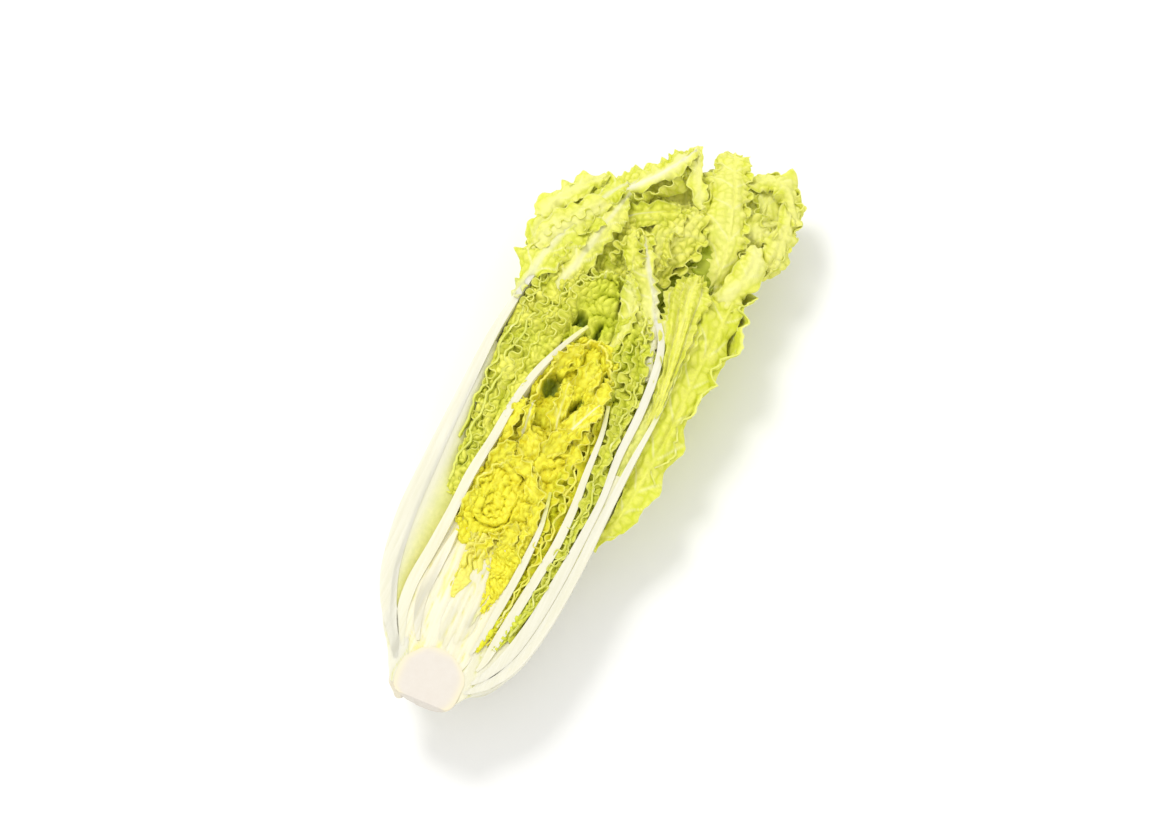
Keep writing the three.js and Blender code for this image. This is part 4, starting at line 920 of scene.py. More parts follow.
left_flaps = [
    free([
        [-46, 254, -1, 4, 3, 0, 0], [-42, 263, 1.6, 8, 7, -30, -20], [-34, 274, 2.8, 9, 8, -30, -20],
        [-26, 284, 2.2, 8, 6, -30, -20], [-19, 292, 0.6, 2, 2, 0, 0],
    ], ((-0.1, -0.2, 1), (0, -0.2, 1)), rib=1.6, ruffle=(1.4, 2.5, 0), ragged=0.1, green=0.1, seed=321,
        **PALE_FLAP),
    free([
        [-52, 272, -5, 4, 4, 0, 0], [-49, 282, -2, 7, 6, -30, -10], [-42, 292, -0.4, 9, 7, -30, -10],
        [-34, 301, -1, 7, 6, -20, 0], [-27, 308, -2, 1.5, 1.5, 0, 0],
    ], ((-0.3, 0, 1), (-0.1, 0.2, 1)), rib=1.6, ruffle=(1.6, 3, 1), ragged=0.1, green=0.15, seed=322,
        **PALE_FLAP),
    free([
        [-47, 248, -5, 3, 3, 0, 0], [-49, 256, -3, 5, 6, -20, -20], [-49.6, 266, -3, 6.4, 7, -30, -20],
        [-47, 277, -3.4, 5, 6, -20, -20], [-44, 284, -4, 2, 2, 0, 0],
    ], ((-0.5, 0, 1), (-0.4, 0.2, 1)), rib=1.4, ruffle=(1.8, 3, 2), ragged=0.1, green=0.45, seed=323,
        **{**PALE_FLAP, "blister": 1.2}),
]
left_edges = [
    frilled_edge([
        [-49, 252, -3, 4, 3], [-45, 262, 2.4, 6, 4], [-38, 271, 4, 6, 4], [-30, 279, 4, 6, 4],
        [-22, 287, 2, 4, 3],
    ], wave=8.0, size=2.0, seed=324, green=0.1),
    frilled_edge([
        [-51, 257, -7, 4, -1], [-52, 268, -6, 5, -1], [-49.6, 279, -4, 6, -2], [-45, 289, -2.4, 6, -2],
        [-37, 300, -2.4, 6, -3], [-29, 309, -4, 4, -3],
    ], wave=8.5, size=2.0, seed=325, green=0.25, flop=3.0),
]
# its smooth inner face, which closes the room between it and the arched stalk. Its colour turns to the
# blade's towards the
# right, where it thins: partly the blade's own colour, partly painted light let through the thin side
left_hollow = packed_fold([
    [18, -22, -14, -0.1], [25, -26, -18, -0.1], [34, -32, -24, -0.1], [44, -36, -27, -0.1],
    [60, -41, -30, -0.1], [88, -44, -28, -0.1], [108, -45, -28, -0.1], [120, -45.2, -33, -0.1],
    [145, -45.6, -36, -0.1], [172, -46, -39, -0.4], [196, -45.6, -41, -2.2],
], relief=0.2, fold=8, seed=38, blade=0.1, tall=8, step=1.4, drop=0.1, tilt=6.5, **WHITE_FILL)
left_hollow[2]["blade"] = 0.06 + 0.6 * ease(-44, -32, left_hollow[0][:, 0])
left_foot = packed_fold([
    [4, -18.5, -14, -1.2], [10, -22, -14, -0.4], [18, -26, -15, -0.3], [26, -31, -18, -0.3],
    [36, -35, -24, -0.5],
], relief=0.6, fold=4, seed=39, step=1.1, blade=0.0, tall=14, drop=0.1, **WHITE_FILL)
make_piece("outer_left_leaf", [left_stalk, left_lobe, *left_flaps, *left_edges, left_hollow, left_foot],
           outer_leaf, "stalk", "outer_leaf_left")

ruffled_left = shell("left", [
    [138, 40.4, 1, 136, 180], [158, 40.8, 1, 132, 180], [180, 40.8, 1, 130, 180],
    [202, 40.4, 1, 130, 180], [222, 38.4, 1, 134, 180], [240, 35, 1, 140, 180], [254, 31, 1, 150, 180],
], rib=120, seed=33, fringe=3, **{**FRILLED, "wave": (1.5, 5.5, 3, 0)})
ruffled_left_more = [
    packed_fold([
        [108, -35, -26, -3.4], [130, -36.6, -26, -2.4], [150, -38, -23, -2], [175, -41, -20, -1.6],
        [200, -43, -13, -1.4], [222, -42, -14, -1.6], [242, -39, -16, -2], [256, -34, -18, -2.6],
    ], relief=4.0, fold=5.8, seed=331, green=0.2, blister=1.6, drop=1.4),
    frilled_edge([
        [-34, 118, -3.4, 5, 3], [-36, 132, -2.4, 5, 4], [-37.4, 148, -1.6, 6, 5], [-38.4, 166, -1, 7, 5],
        [-39, 186, -0.6, 7, 5], [-39, 206, -0.4, 7, 5], [-37.8, 226, -0.2, 7, 5], [-35.6, 244, 0, 6, 4],
    ], wave=9.4, size=1.9, seed=332, green=0.25),
    frilled_edge([
        [-31, 116, -2.6, 5, 3], [-31.6, 130, -1.8, 6, 4], [-31, 144, -1, 7, 4], [-31.4, 160, -0.6, 7, 4],
        [-31.6, 178, 0, 7, 5], [-31.6, 198, 0, 7, 5], [-31, 216, 0, 7, 5], [-30, 232, 0, 6, 4],
    ], wave=8.6, size=2.1, seed=333, green=0.3),
]
make_piece("ruffled_left_blade", [ruffled_left, *ruffled_left_more],
           inner_leaf, "leaf_green", "frill_leaf_left")

ribbed_inside = shell("left", [
    [114, 35.6, 1, 130, 180], [126, 35.4, 1, 128, 180], [150, 35.6, 1, 126, 180],
    [174, 35.4, 1, 126, 180], [198, 34.4, 1, 128, 180], [216, 32.4, 1, 132, 180],
], rib=120, seed=34, fringe=3, **{**FRILLED, "wave": (1.4, 5, 3, 0)})
ribbed_top = free([
    [-31, 214, -8, 2, 2, 0, 0], [-28, 230, -5.5, 5, 4, -20, 20], [-24.4, 246, -1.8, 8, 6, -30, 30],
    [-20.6, 262, -1, 9, 7, -40, 30], [-18, 277, -0.5, 8, 8, -40, 40], [-15, 290, 0, 6, 7, -20, 40],
    [-12, 302, 0, 1.5, 1.5, 0, 0],
], ((0.2, 0, 1), (0.2, 0, 1)), rib=2.8, ruffle=(2.2, 4.6, 0.6), ragged=0.26, green=0.2, seed=35,
    blister=1.0, frill=1.8, stalk_share=0.9, pale=0.4, rib_white=0.5, crumple=1.8, lobes=2.2, notch=1.1)
ribbed_more = [
    frilled_edge([
        [-37, 240, -0.4, 6, 1], [-32.6, 252, 1, 7, 1], [-29, 264, 1.6, 7, 1], [-25.6, 276, 1.6, 7, 1],
        [-22, 288, 1, 6, 3], [-17, 297, 0, 5, 2],
    ], wave=8.0, size=1.9, seed=353, green=0.1),
    frilled_edge([
        [-33, 250, -1, 6, 1], [-28.6, 262, 0.2, 7, 1], [-25, 274, 0.6, 7, 1], [-21, 285, 0, 6, 2],
    ], wave=7.4, size=1.8, seed=354, green=0.35),
    frilled_edge([
        [-26.4, 166, -0.6, 6, 3], [-26.4, 182, 0, 7, 4], [-25.2, 198, 0, 7, 5], [-23.2, 214, 0, 7, 5],
        [-22.6, 230, 0, 7, 5], [-21.6, 246, 0, 6, 4],
    ], wave=8.6, size=2.1, seed=351, green=0.3),
    frilled_edge([
        [-19, 206, -0.6, 6, 4], [-17.6, 218, 0, 7, 5], [-17.2, 232, 0, 7, 5], [-15.6, 245, 0, 7, 4],
        [-11, 253, -0.6, 6, 2],
    ], wave=8.0, size=2.1, seed=352, green=0.25),
]
make_piece("ribbed_left_leaf", [ribbed_inside, ribbed_top, *ribbed_more],
           inner_leaf, "leaf_green", "ribbed_leaf_left")

arched_stalk = shell("left", [
    [22.5, 20.4, 1.4, 134, 180], [29, 25.4, 4, 130, 180], [40, 30.6, 5.8, 127, 180],
    [56, 32.4, 6.2, 124, 180], [78, 30.6, 6, 122, 180], [100, 29.2, 5.4, 122, 180],
    [122, 28.6, 5.2, 122, 180], [144, 25.6, 4.6, 124, 180], [166, 23.4, 4.2, 126, 180],
    [186, 19.6, 3.8, 128, 180], [202, 13.6, 3, 130, 180], [214, 8, 2.4, 132, 180],
    [222, 3.2, 1.6, 134, 180],
], rib=180, seed=36, green=0.2)
make_piece("arched_left_stalk", [arched_stalk], inner_leaf, "stalk", "arched_leaf_left")

short_left_stalk = shell("left", [
    [28, 14.4, 1.4, 136, 180], [36, 19.6, 4, 132, 180], [50, 24, 5.4, 128, 180],
    [66, 23.8, 5.2, 126, 180], [80, 22.4, 4, 126, 180], [90, 20.6, 1.6, 128, 180],
], rib=180, seed=37, green=0.1)
# the white bases of the heart's leaves, packed round the growing tip
white_bases = packed_fold([
    [16, -16, 12, -0.5], [22, -18, 13, -0.35], [32, -24, 16, -0.35], [44, -26, 17.5, -0.35],
    [60, -27, 18.5, -0.5], [76, -26, 16, -1.2], [92, -25, 12, -3.5], [100, -24, 10, -6],
], relief=0.8, fold=3.4, seed=371, step=1.0, blade=0.03, tall=14, drop=0.2, **WHITE_FILL)
# Growing tip and leaf bases: dense, juicy and cream white, with yellow in the valleys between the bases,
# partly their own colour and partly painted shade.
tender_base = leaf_material(
    "tender_base", stalk="eeead6", stalk_deep="e8e0b8", young="f4f262", old="dfe84a", vein="f5f49c",
    edge="f8f2d8", crease_shade="ecdc60", roughness=0.5, bump_depth=0.0003,
)
make_piece("short_left_stalk", [short_left_stalk, white_bases], tender_base, "stalk", "heart_stalk_left")

# ---- Leaves under the heart --------------------------------------------------------------------
# Five whole leaves, one in another, that are hidden under the heart and come out at the crown: the
# drooping right cluster, the back leaf, the long ridge leaf, the cupped leaf and the pale left one.

HIDDEN = dict(rib=90, step=3.5, green=0.6)
CROWN = dict(
    blister=1.5, cell=4.8, frill=2.2, curl_wave=9.0, lobes=2.6, veins=0.35, side_veins=16.0, crumple=2.6,
    notch=1.2,
)

right_cluster = free([
    [5, 204, -46, 6, 6, 0, 0], [18, 230, -42.5, 13, 11, 10, 10], [33, 256, -34, 15, 10, 0, -10],
    [46, 279, -24, 17, 13, -30, -20], [54, 300, -16, 19, 22, -40, -60], [57, 322, -12, 19, 21, -40, -60],
    [54, 341, -14, 13, 13, -40, -50], [51, 350, -16, 3, 3, 0, 0],
], ((0, 0, 1), (0.1, 0.3, 1)), rib=0.9, ruffle=(3.4, 5.3, 0.8), ragged=0.2, green=0.0, seed=41,
    stalk_share=0.04, pale=0.35, **{**CROWN, "blister": 1.2, "cell": 5.6})
right_cluster_foot = shell("under", [
    [12.5, 18.6, 1.4, 48, 132], [16, 24.4, 3.4, 50, 130], [24, 32, 4.4, 57, 123], [42, 41, 4.4, 62, 118],
    [72, 47.8, 4.4, 62, 118], [110, 50.2, 4, 62, 118], [150, 50.4, 3.2, 62, 118],
    [190, 50.6, 2.2, 62, 118], [216, 50.4, 1.6, 66, 114],
], seed=42, **HIDDEN)
CLUSTER_FLAP = {**CROWN, "stalk_share": 0.04, "pale": 0.35}
cluster_more = [
    free([
        [44, 338, -12, 5, 5, 0, 0], [53, 343, -8, 7, 7, -20, -20], [63, 342, -7, 8, 8, -30, -30],
        [70.4, 334, -9, 7, 7, -30, -30], [76, 324, -12, 3, 3, 0, 0],
    ], ((0.1, 0.3, 1), (0.4, 0.2, 1)), rib=1.4, ruffle=(2.2, 3, 0), ragged=0.1, green=0.0, seed=411,
        **CLUSTER_FLAP),
    free([
        [68, 336, -12, 4, 4, 0, 0], [71.6, 326, -9, 7, 6.6, -30, -30], [73, 314, -9, 8, 7.4, -40, -40],
        [72.6, 302, -11, 7, 6.6, -40, -40], [70, 294, -14, 3, 3, 0, 0],
    ], ((0.5, 0, 1), (0.4, -0.2, 1)), rib=1.4, ruffle=(2.4, 3, 1), ragged=0.1, green=0.0, seed=412,
        **CLUSTER_FLAP),
    free([
        [50, 300, -16, 5, 5, 0, 0], [55, 308, -11, 8, 8, 20, 20], [61, 316, -10, 9, 9, 20, 20],
        [67, 322, -13, 3, 3, 0, 0],
    ], ((0.1, -0.1, 1), (0.1, -0.1, 1)), rib=1.4, ruffle=(1.6, 3, 0), ragged=0.1, green=0.0, seed=413,
        **CLUSTER_FLAP),
    free([
        [56, 264, -9, 4, 5, 0, 0], [60, 273, -4.4, 7, 8, -20, -30], [64, 284, -3.4, 9, 9, -30, -40],
        [64, 294, -4.4, 9, 8, -30, -40], [62, 302, -8, 4, 4, 0, 0],
    ], ((0.2, 0, 1), (0.3, 0, 1)), rib=1.4, ruffle=(1.8, 2, 0), ragged=0.05, green=0.0, seed=414,
        **{**CLUSTER_FLAP, "blister": 0.7, "crumple": 1.8, "pale": 0.6, "lobes": 2.4, "frill": 1.6}),
]
cluster_edges = [
    frilled_edge([
        [50, 349, -13, 4, 1], [60, 348, -9, 6, 1], [69, 342, -9, 6, 1], [75, 332, -10, 6, 1],
        [78, 321, -12, 4, 1],
    ], wave=8.0, size=2.2, seed=415, green=0.05),
    frilled_edge([
        [77, 318, -12, 4, -1], [75.8, 306, -11, 6, -2], [73, 295, -12, 6, -2], [68, 289, -14, 4, -3],
    ], wave=7.5, size=2.0, seed=416, green=0.1, flop=3.0),
    frilled_edge([
        [47, 336, -12, 4, 3], [52, 326, -8, 6, 4], [58, 318, -8, 6, 4], [66, 314, -10, 5, 3],
    ], wave=7.0, size=2.0, seed=417, green=0.2),
]
make_piece("right_cluster_leaf", [right_cluster, right_cluster_foot, *cluster_more, *cluster_edges],
           outer_leaf, "leaf_green", "under_leaf_right")

back_blade = free([
    [0, 202, -41.2, 5, 5, 0, 0], [4, 228, -39, 22, 16, 10, 0], [10, 256, -34, 34, 22, 20, 0],
    [18, 282, -27, 40, 24, 20, 0], [24, 306, -20, 36, 20, 20, 0], [28, 326, -15, 24, 14, 20, 0],
    [31, 340, -14, 3, 3, 0, 0],
], ((0, 0, 1), (0, -0.1, 1)), rib=0.9, ruffle=(2.6, 3.6, 0.8), ragged=0.16, green=0.0, seed=43, step=1.4,
    pale=0.2, stalk_share=0.04, **CROWN)
back_foot = shell("under", [
    [18, 19, 1.4, 68, 112], [25, 25.6, 3.4, 66, 114], [42, 35, 4.2, 64, 116], [72, 41.8, 4.2, 63, 117],
    [110, 44.6, 4, 62, 118], [150, 45, 3.2, 62, 118], [190, 45.2, 2.2, 63, 117], [214, 45, 1.6, 66, 114],
], seed=44, **HIDDEN)
make_piece("back_leaf", [back_blade, back_foot], inner_leaf, "leaf_yellow", "under_leaf_back")

ridge_blade = free([
    [4, 200, -36.4, 5, 5, 0, 0], [18, 224, -33, 12, 10, 10, 0], [35, 248, -23, 16, 10, -10, -10],
    [46, 270, -13, 18, 10, -40, -30], [48, 290, -6, 20, 9, -55, -40], [44, 310, -3, 20, 9, -60, -40],
    [38, 328, -3, 18, 9, -60, -40], [33, 342, -5, 13, 9, -40, -30], [30, 351, -8, 4, 4, 0, 0],
], ((0, 0, 1), (0.15, 0, 1)), rib=0.9, ruffle=(2.8, 5.6, 0.8), ragged=0.22, green=0.0, seed=45,
    stalk_share=0.04, pale=0.2, **{**CROWN, "blister": 0.6, "cell": 5.2, "crumple": 2.0, "veins": 0.6})
ridge_edges = [
    frilled_edge([
        [24, 344, -6, 4, 2], [26, 330, -4, 6, 3], [27, 314, -4, 6, 4], [29, 298, -5, 6, 4],
        [33, 282, -7, 6, 4], [37, 268, -9, 4, 3],
    ], wave=8.5, size=2.2, seed=451, green=0.1),
    frilled_edge([
        [40, 346, -7, 4, -2], [46, 332, -5, 6, -4], [52, 314, -5, 6, -4], [56, 296, -7, 6, -4],
        [57, 278, -9, 6, -4], [55, 262, -10, 4, -3],
    ], wave=9.5, size=2.2, seed=452, green=0.2),
]
ridge_foot = shell("under", [
    [21, 18.6, 1.4, 69, 111], [30, 25, 3.4, 66, 114], [48, 32.6, 4.2, 64, 116], [76, 37, 4.2, 63, 117],
    [112, 39.4, 4, 62, 118], [150, 39.8, 3.2, 62, 118], [190, 40, 2.2, 63, 117],
    [212, 39.8, 1.6, 66, 114],
], seed=46, **HIDDEN)
make_piece("ridge_leaf", [ridge_blade, ridge_foot, *ridge_edges],
           outer_leaf, "leaf_green", "under_leaf_ridge")

cup_blade = free([
    [-2, 198, -31.6, 5, 5, 0, 0], [-8, 222, -31, 10, 12, 10, 10], [-12, 248, -26, 12, 18, 10, 20],
    [-10, 268, -18, 10, 30, 0, 30], [-6, 285, -12, 9, 36, -20, 36], [2, 298, -9, 9, 32, -20, 40],
    [12, 307, -8, 6, 20, -20, 40], [20, 313, -8, 2, 3, 0, 0],
], ((0, 0, 1), (-0.25, 0.1, 1)), rib=0.9, ruffle=(2.8, 4.4, 0.8), ragged=0.2, green=0.0, seed=47,
    stalk_share=0.1, pale=0.2, **CROWN)
cup_foot = shell("under", [
    [27, 17, 1.4, 70, 110], [42, 25.6, 3.8, 66, 114], [70, 31.4, 4, 64, 116], [110, 33.8, 3.8, 63, 117],
    [150, 34.4, 3, 63, 117], [190, 34.6, 2.2, 64, 116], [210, 34.4, 1.6, 66, 114],
], seed=48, **HIDDEN)
cup_more = [
    free([
        [4, 258, -10, 8, 8, 0, 0], [11, 268, -4, 11, 13, -10, -20], [17, 280, -0.6, 12, 14, -20, -30],
        [22, 292, 0, 11, 13, -20, -30], [25, 303, -3, 9, 8, -20, -20], [26, 309, -5, 3, 3, 0, 0],
    ], ((-0.1, -0.3, 1), (0, -0.1, 1)), rib=1.4, ruffle=(2.0, 2.6, 0), ragged=0.1, green=0.0, seed=471,
        step=0.75, pale=0.25, **{**CROWN, "stalk_share": 0.04, "blister": 1.5, "crumple": 1.4}),
    free([
        [-14, 288, -6, 4, 5, 0, 0], [-4, 294, -3.6, 5, 8, 20, 20], [6, 299, -2.6, 5, 9, 20, 20],
        [17, 304, -3, 3, 4, 0, 0],
    ], ((-0.2, -0.4, 1), (-0.1, -0.4, 1)), rib=1.4, ruffle=(1.0, 3, 0), ragged=0.1, green=0.3, seed=472,
        **{**CROWN, "stalk_share": 0.3, "blister": 1.5, "crumple": 0.8}),
]
cup_edges = [
    frilled_edge([
        [24, 262, -6, 4, -5], [31, 272, -3.4, 6, -7], [35, 284, -2, 6, -7], [36, 296, -3, 6, -7],
        [30, 306, -5, 4, -5],
    ], wave=11.0, size=1.7, seed=474, green=0.1, flop=3.0),
    frilled_edge([
        [-7, 262, -1, 4, 2], [-6, 271, 1.6, 6, 3], [-1, 279, 2.4, 6, 3], [5, 284, 2, 6, 3],
        [10, 280, 0, 4, 2],
    ], wave=6.0, size=2.0, seed=475, green=0.0),
]
cup_inside = packed_fold([
    [252, -20, 6, -9], [262, -22, 8, -6.5], [274, -20, 6, -5], [286, -16, 4, -5], [296, -12, 6, -6.5],
], relief=3.0, fold=7, seed=473, green=0.25, blister=1.8, cell=4.2, tall=1.2)
# the leaf face deep in the gap beside the cup, painted greener and part dark all over as shade
gap_floor = packed_fold([
    [236, 12, 36, -10], [252, 12, 44, -9], [268, 16, 48, -9], [286, 22, 48, -9], [304, 24, 44, -10],
    [320, 24, 38, -11],
], relief=3.4, fold=6.5, seed=476, step=1.2, green=0.9, blister=1.6, cell=4.4, tall=1.6)
gap_floor[2]["hollow_shade"] = np.maximum(gap_floor[2]["hollow_shade"], 0.45)
make_piece("cupped_leaf", [cup_blade, cup_foot, *cup_more, *cup_edges, cup_inside, gap_floor],
           inner_leaf, "leaf_yellow", "under_leaf_cup")

pale_blade = free([
    [-5, 188, -26.6, 5, 5, 0, 0], [-18, 214, -27.5, 9, 9, 0, 0], [-31, 244, -22, 13, 12, -20, -10],
    [-36, 270, -16, 16, 14, -30, -20], [-30, 292, -10, 15, 12, -30, -20],
    [-16, 308, -8, 12, 11, -20, -20], [-3, 321, -6, 10, 11, -20, -20], [7, 332, -4, 7, 9, -10, -10],
    [13, 339, -3, 1.5, 2, 0, 0],
], ((0, 0, 1), (-0.1, 0.2, 1)), rib=3, ruffle=(2.4, 5, 0.8), ragged=0.24, green=0.2, seed=49,
    stalk_share=1.2, **CROWN)
pale_foot = shell("under", [
    [32, 15, 1.4, 74, 106], [50, 21.6, 3.4, 68, 112], [78, 26, 3.6, 66, 114], [116, 28.4, 3.4, 65, 115],
    [156, 29, 2.8, 65, 115], [202, 29, 1.6, 67, 113],
], seed=50, **HIDDEN)
pale_more = [
    free([
        [-40, 284, -5, 4, 3, 0, 0], [-28, 294, -2, 6, 4, -30, -10], [-14, 305, -0.6, 7, 4.5, -40, -20],
        [-2, 318, 0.4, 7, 5, -40, -20], [6, 330, 0.4, 6, 5, -30, -20], [11, 341, -1, 2, 2, 0, 0],
    ], ((-0.3, 0.2, 1), (-0.3, 0.1, 1)), rib=2.6, ruffle=(1.4, 4, 0), ragged=0.1, green=0.1, seed=491,
        **{**PALE_FLAP, "stalk_share": 0.7, "pale": 0.9, "rib_white": 0.7}),
    frilled_edge([
        [-22, 293, -1.6, 6, 2], [-13, 299, -0.8, 7, 3], [-4, 305, -0.4, 7, 4], [4, 313, -0.2, 7, 4],
        [8, 323, -0.4, 6, 3],
    ], wave=9.0, size=1.8, seed=492, green=0.05),
    free([
        [10, 344, -3, 3, 3, 0, 0], [14, 336, -1.6, 3.5, 5, 20, 30], [18, 326, -1.4, 3.5, 6, 20, 30],
        [23, 317, -2, 3, 5, 20, 30], [27, 310, -3.5, 1.5, 1.5, 0, 0],
    ], ((0.3, 0, 1), (0.3, 0, 1)), rib=1.2, ruffle=(1.2, 3, 0), ragged=0.1, green=0.15, seed=493,
        **{**PALE_FLAP, "frill": 1.4}),
]
make_piece("pale_left_leaf", [pale_blade, pale_foot, *pale_more],
           outer_leaf, "leaf_green", "under_leaf_left")

# ---- Dome leaf ---------------------------------------------------------------------------------
# The leaf that closes over the top of the heart, cut through: its edge is the arch round it.

dome = shell("under", [
    [190, 25.6, 1.4, 40, 140], [206, 28.2, 1.2, 14, 166], [222, 27.8, 1.2, 3, 177],
    [236, 23.4, 1.2, 2, 178], [246, 16.4, 1.2, 2, 178], [253, 8.4, 1.2, 2, 178], [256, 2.4, 1, 2, 178],
], rib=90, seed=51, step=1.1, green=0.5, blister=1.8, frill=0.8, wave=(0.8, 4, 3, 0))
dome_more = [
    packed_fold([
        [210, -24, 10, -5], [226, -24, 12, -3.6], [240, -20, 8, -2.6], [250, -14, 4, -2],
        [257, -8, 1, -3],
    ], relief=4.4, fold=8, seed=511, green=0.5, blister=2.2, cell=4.0, tall=1.1,
        pits=((-8, 226, 3.5, 5, 4), (3, 222, 1.6, 6, 5))),
    free([
        [14, 214, -5, 3, 3, 0, 0], [16.5, 228, -2.6, 5, 3, 30, 10], [15, 242, -1.4, 6.5, 3, 40, 10],
        [9.5, 254, -1, 5.5, 3, 40, 10], [5, 260, -1.4, 1.5, 1.5, 0, 0],
    ], ((-0.5, 0, 1), (-0.4, -0.2, 1)), rib=1.4, ruffle=(1.2, 3, 0), ragged=0.1, green=0.3, seed=512,
        blister=0.4, frill=1.6, curl_wave=6, stalk_share=0.12, pale=0.4, side_veins=7),
]
make_piece("dome_over_heart", [dome, *dome_more], inner_leaf, "leaf_yellow", "dome_leaf")

# ---- Heart -------------------------------------------------------------------------------------
# The white stem tip, and the small yellow leaves crumpled round it. They are the youngest leaves:
# thin, tightly blistered and deep yellow, wrapped over one another like bowls.

stem_tip = free([
    [0, 31.5, -3, 5, 5, 20, 20], [0.5, 42, -2.5, 7, 7, 20, 20], [2.5, 58, -2.5, 8, 8, 20, 20],
    [5, 74, -2.5, 5.5, 5.5, 20, 20], [7, 90, -2.5, 1.5, 1.5, 0, 0],
], UP, rib=4.4, blade=3.6, frill=0.2, blister=0.0, stalk_share=3, seed=61, step=1.0, lobes=0.4)
stem_streaks = packed_fold([
    [30, -5, 6, -0.6], [42, -9, 10, 0.2], [56, -8, 9.5, 0.4], [70, -5, 7, 0.2], [82, -1, 5, -0.6],
    [94, 1, 4, -2],
], relief=0.7, fold=3.2, seed=611, step=1.0, green=0.0, blister=0.0, blade=0.08, tall=14, drop=1.4,
    warp=0.3)
make_piece("stem_tip", [stem_tip, stem_streaks], tender_base, "stalk", "heart_stem")

HEART_CORE = [
    [33, 6, 7], [42, 10.5, 10], [60, 13.5, 12], [80, 13.5, 12], [105, 14, 12.5], [135, 14, 13],
    [160, 12, 12], [182, 9, 11], [204, 8, 8], [220, 2, 3],
]  # distance up the head, then half widths to the left and right
core_skin, core_face = half_round(HEART_CORE, top=-11.0, step=2.4,
                                  wave=lambda y, way: 0.6 * noise(y / 6, way / 4, 9))
heart_bodies = [
    closed_sheet(core_skin, core_face, {"blade": 1.0, "green": 0.2}),
    packed_fold([
        [66, 2, 14, -3], [76, -8, 16, -2.6], [88, -19, 17, -2.4], [100, -25, 17.5, -2.2],
        [112, -26, 17.5, -2], [132, -24, 18, -2.4], [152, -21, 21, -3], [160, -20, 22, -4],
    ], relief=4.6, fold=6.2, seed=601, green=0.0, blister=2.0, cell=3.7, tall=1.3,
        swirl=(-9, 112, 17, 5.2), drop=2),
    packed_fold([
        [50, 9, 11, -0.6], [60, 7, 13.5, 0.6], [74, 4.5, 16, 0.8], [88, 2, 17, 0.4], [102, 1, 17, -2],
    ], relief=2.2, fold=2.6, seed=603, green=0.0, blister=0.9, cell=2.6, tall=1.8, drop=1.2, step=0.55),
    packed_fold([
        [56, -9.5, -5, -0.8], [63, -11.5, -3, 0], [72, -11.5, 0, 0.2], [82, -12, 4, 0], [94, -14, 5, -1],
    ], relief=3.0, fold=2.7, seed=604, green=0.0, blister=0.5, cell=2.4, tall=2.8, drop=1.8, step=0.55,
        blade=0.8, warp=3.2),
    packed_fold([
        [148, -22, 20, -6], [160, -22, 23, -6], [172, -21, 25, -5.6], [184, -18, 25, -3.6],
        [196, -14, 24, -1.6], [208, -9, 21, -2], [217, -3, 17, -3.4],
    ], relief=4.4, fold=7.0, seed=602, green=0.35, blister=2.1, cell=3.9, tall=1.1, drop=2,
        pits=((-8, 185, 5, 6, 4), (8, 178, 1.5, 4, 3), (18, 198, 2, 4, 3))),
]


def bowl(rows, middle, seed, **kinds):
    """A leaf that wraps over the heart like a bowl, opened by the cut: a shell moved by middle mm."""
    points, quads, marks = shell("under", rows, rib=90, seed=seed, step=0.95, blister=1.6, frill=0.5,
                                 wave=(0.7, (rows[-1][0] - rows[0][0]) / 9, 3, 0), white_to=0, **kinds)
    return points + np.array([middle, 0, 0]), quads, marks


for number, (foot, top, half, middle) in enumerate([(150, 216, 19, 5), (96, 140, 18, -3)]):
    tall = top - foot
    heart_bodies.append(bowl([
        [foot, half * 0.95, 1, 14, 166], [foot + 0.3 * tall, half, 1, 6, 174],
        [foot + 0.55 * tall, half * 0.95, 1, 3, 177], [foot + 0.78 * tall, half * 0.75, 1, 2, 178],
        [foot + 0.93 * tall, half * 0.4, 1, 2, 178], [top, 1.5, 0.8, 2, 178],
    ], middle, seed=610 + number, green=0.15))

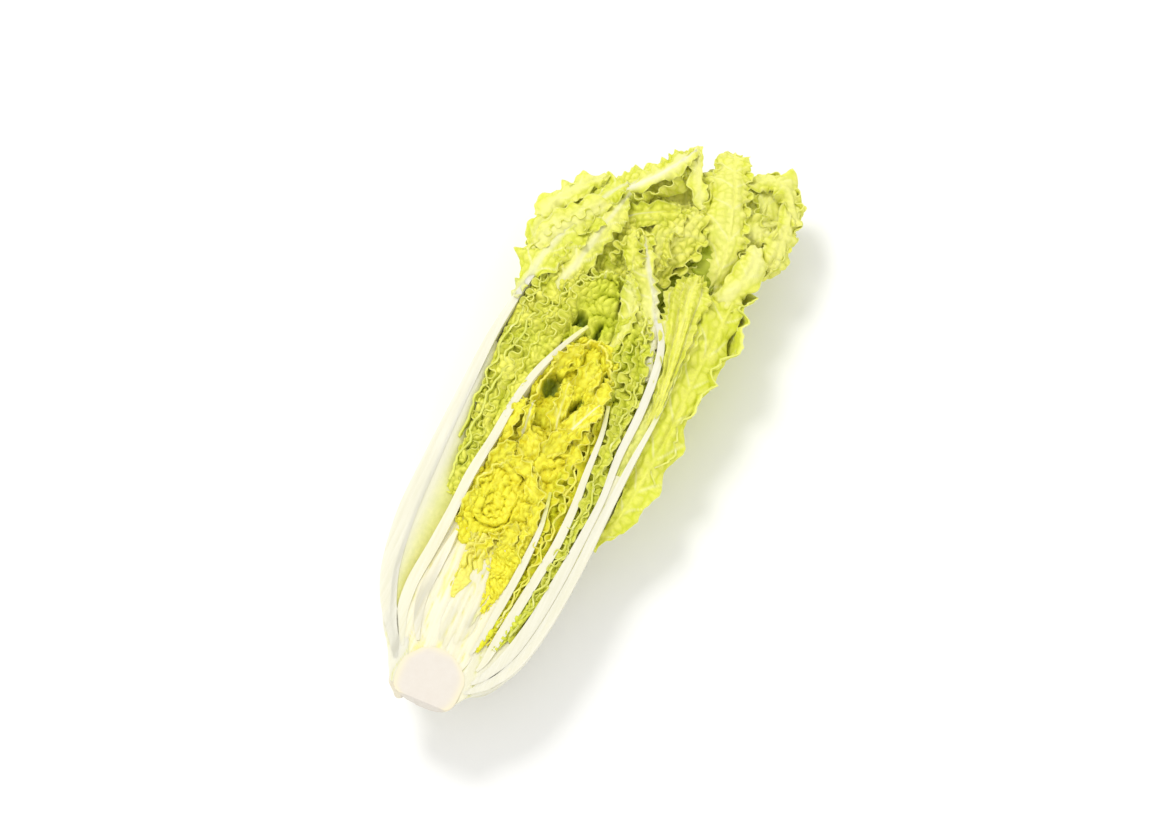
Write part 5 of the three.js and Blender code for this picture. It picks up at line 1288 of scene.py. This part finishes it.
SMALL_LEAVES = [
    # middle x and y, heading, length, half width, height, cup, lean to the right and up the head and
    # share of rib
    (-3, 86, 74, 22, 3, 0.6, 60, 0.2, -0.3, 0), (14, 92, 98, 26, 2.4, 0, 60, -0.4, 0, 0),
    (6, 97, 85, 16, 4, 0, 50, 0, -0.4, 0), (-19, 106, 84, 22, 4.5, -1.4, 30, 0.4, -0.2, 0),
    (-15, 137, 62, 18, 5, 0.4, 30, 0.3, -0.4, 0), (-1, 134, 160, 20, 4.5, 0.6, 30, -0.1, -0.6, 0),
    (8, 125, 125, 20, 4.5, 0.8, 30, -0.5, -0.3, 0), (14, 112, 96, 24, 3.4, 0, 40, -0.5, 0, 0),
    (-4, 147, 95, 14, 6, 0.8, 30, 0, -0.6, 0), (-18, 158, 84, 26, 4.5, 0.6, 20, -0.5, 0, 0),
    (-11, 160, 96, 22, 4, 1.4, 20, 0.6, 0, 0.5), (8, 153, 65, 20, 6, 0.8, 30, 0.2, -0.5, 0),
    (15, 168, 66, 32, 7, 1.4, 20, -0.4, -0.2, 0.5), (3, 172, 98, 32, 4.5, 1.6, 20, 0.6, -0.1, 0.3),
    (20, 156, 92, 28, 4, 0.8, 30, -0.5, 0, 0), (21, 184, 98, 26, 4, 1.0, 30, -0.4, -0.2, 0),
    (9, 194, 80, 18, 7, 0.6, 30, 0, -0.5, 0), (-5, 201, 60, 20, 5, 0.8, 30, 0.3, -0.5, 0),
]
for number, (x, y, heading, long, half, height, cup, right, up_head, ribbed) in enumerate(SMALL_LEAVES):
    way = np.array([math.cos(math.radians(heading)), math.sin(math.radians(heading))]) * long
    rows = [
        [x - 0.5 * way[0], y - 0.5 * way[1], height - 6, 0.5 * half, 0.5 * half, 0, 0],
        [x - 0.2 * way[0], y - 0.2 * way[1], height - 1.4, half, half, cup, cup],
        [x + 0.15 * way[0], y + 0.15 * way[1], height, half, half, cup, cup],
        [x + 0.4 * way[0], y + 0.4 * way[1], height - 0.4, 0.7 * half, 0.7 * half, cup, cup],
        [x + 0.5 * way[0], y + 0.5 * way[1], height - 1.6, 0.25 * half, 0.25 * half, 0, 0],
    ]
    lean = ((right, up_head, 1), (right, up_head, 1))
    heart_bodies.append(free(
        rows, lean, rib=1.2, ruffle=(1.2, 2.5, number), ragged=0.1, blade=0.9, step=0.75, frill=1.9,
        curl_wave=5.0, blister=1.4, cell=3.3, green=0.1, seed=70 + number, side_veins=9.0,
        stalk_share=0.05 + ribbed, lobes=1.2, veins=0.5 + ribbed, crumple=1.0,
    ))

# gaps between the heart's leaves, painted dark as shade where they lie deep: middle x and y, half width and
# half length
HEART_GAPS = [(-8, 184, 4.5, 6.5), (19, 176, 1.6, 5), (11, 181, 1.4, 3)]
GAP_TOP = -2.2  # a leaf that stands higher than this crosses over a gap
GAP_SHADE = 0.9
for points, quads, marks in heart_bodies:
    for gap_x, gap_y, gap_half, gap_long in HEART_GAPS:
        far = np.hypot((points[:, 0] - gap_x) / gap_half, (points[:, 1] - gap_y) / gap_long)
        deep = (1 - ease(0.7, 1.1, far)) * (points[:, 2] < GAP_TOP)
        marks["hollow_shade"] = np.maximum(marks.get("hollow_shade", 0), GAP_SHADE * deep)
make_piece("heart_leaves", heart_bodies, heart_leaf, "leaf_yellow", "heart")
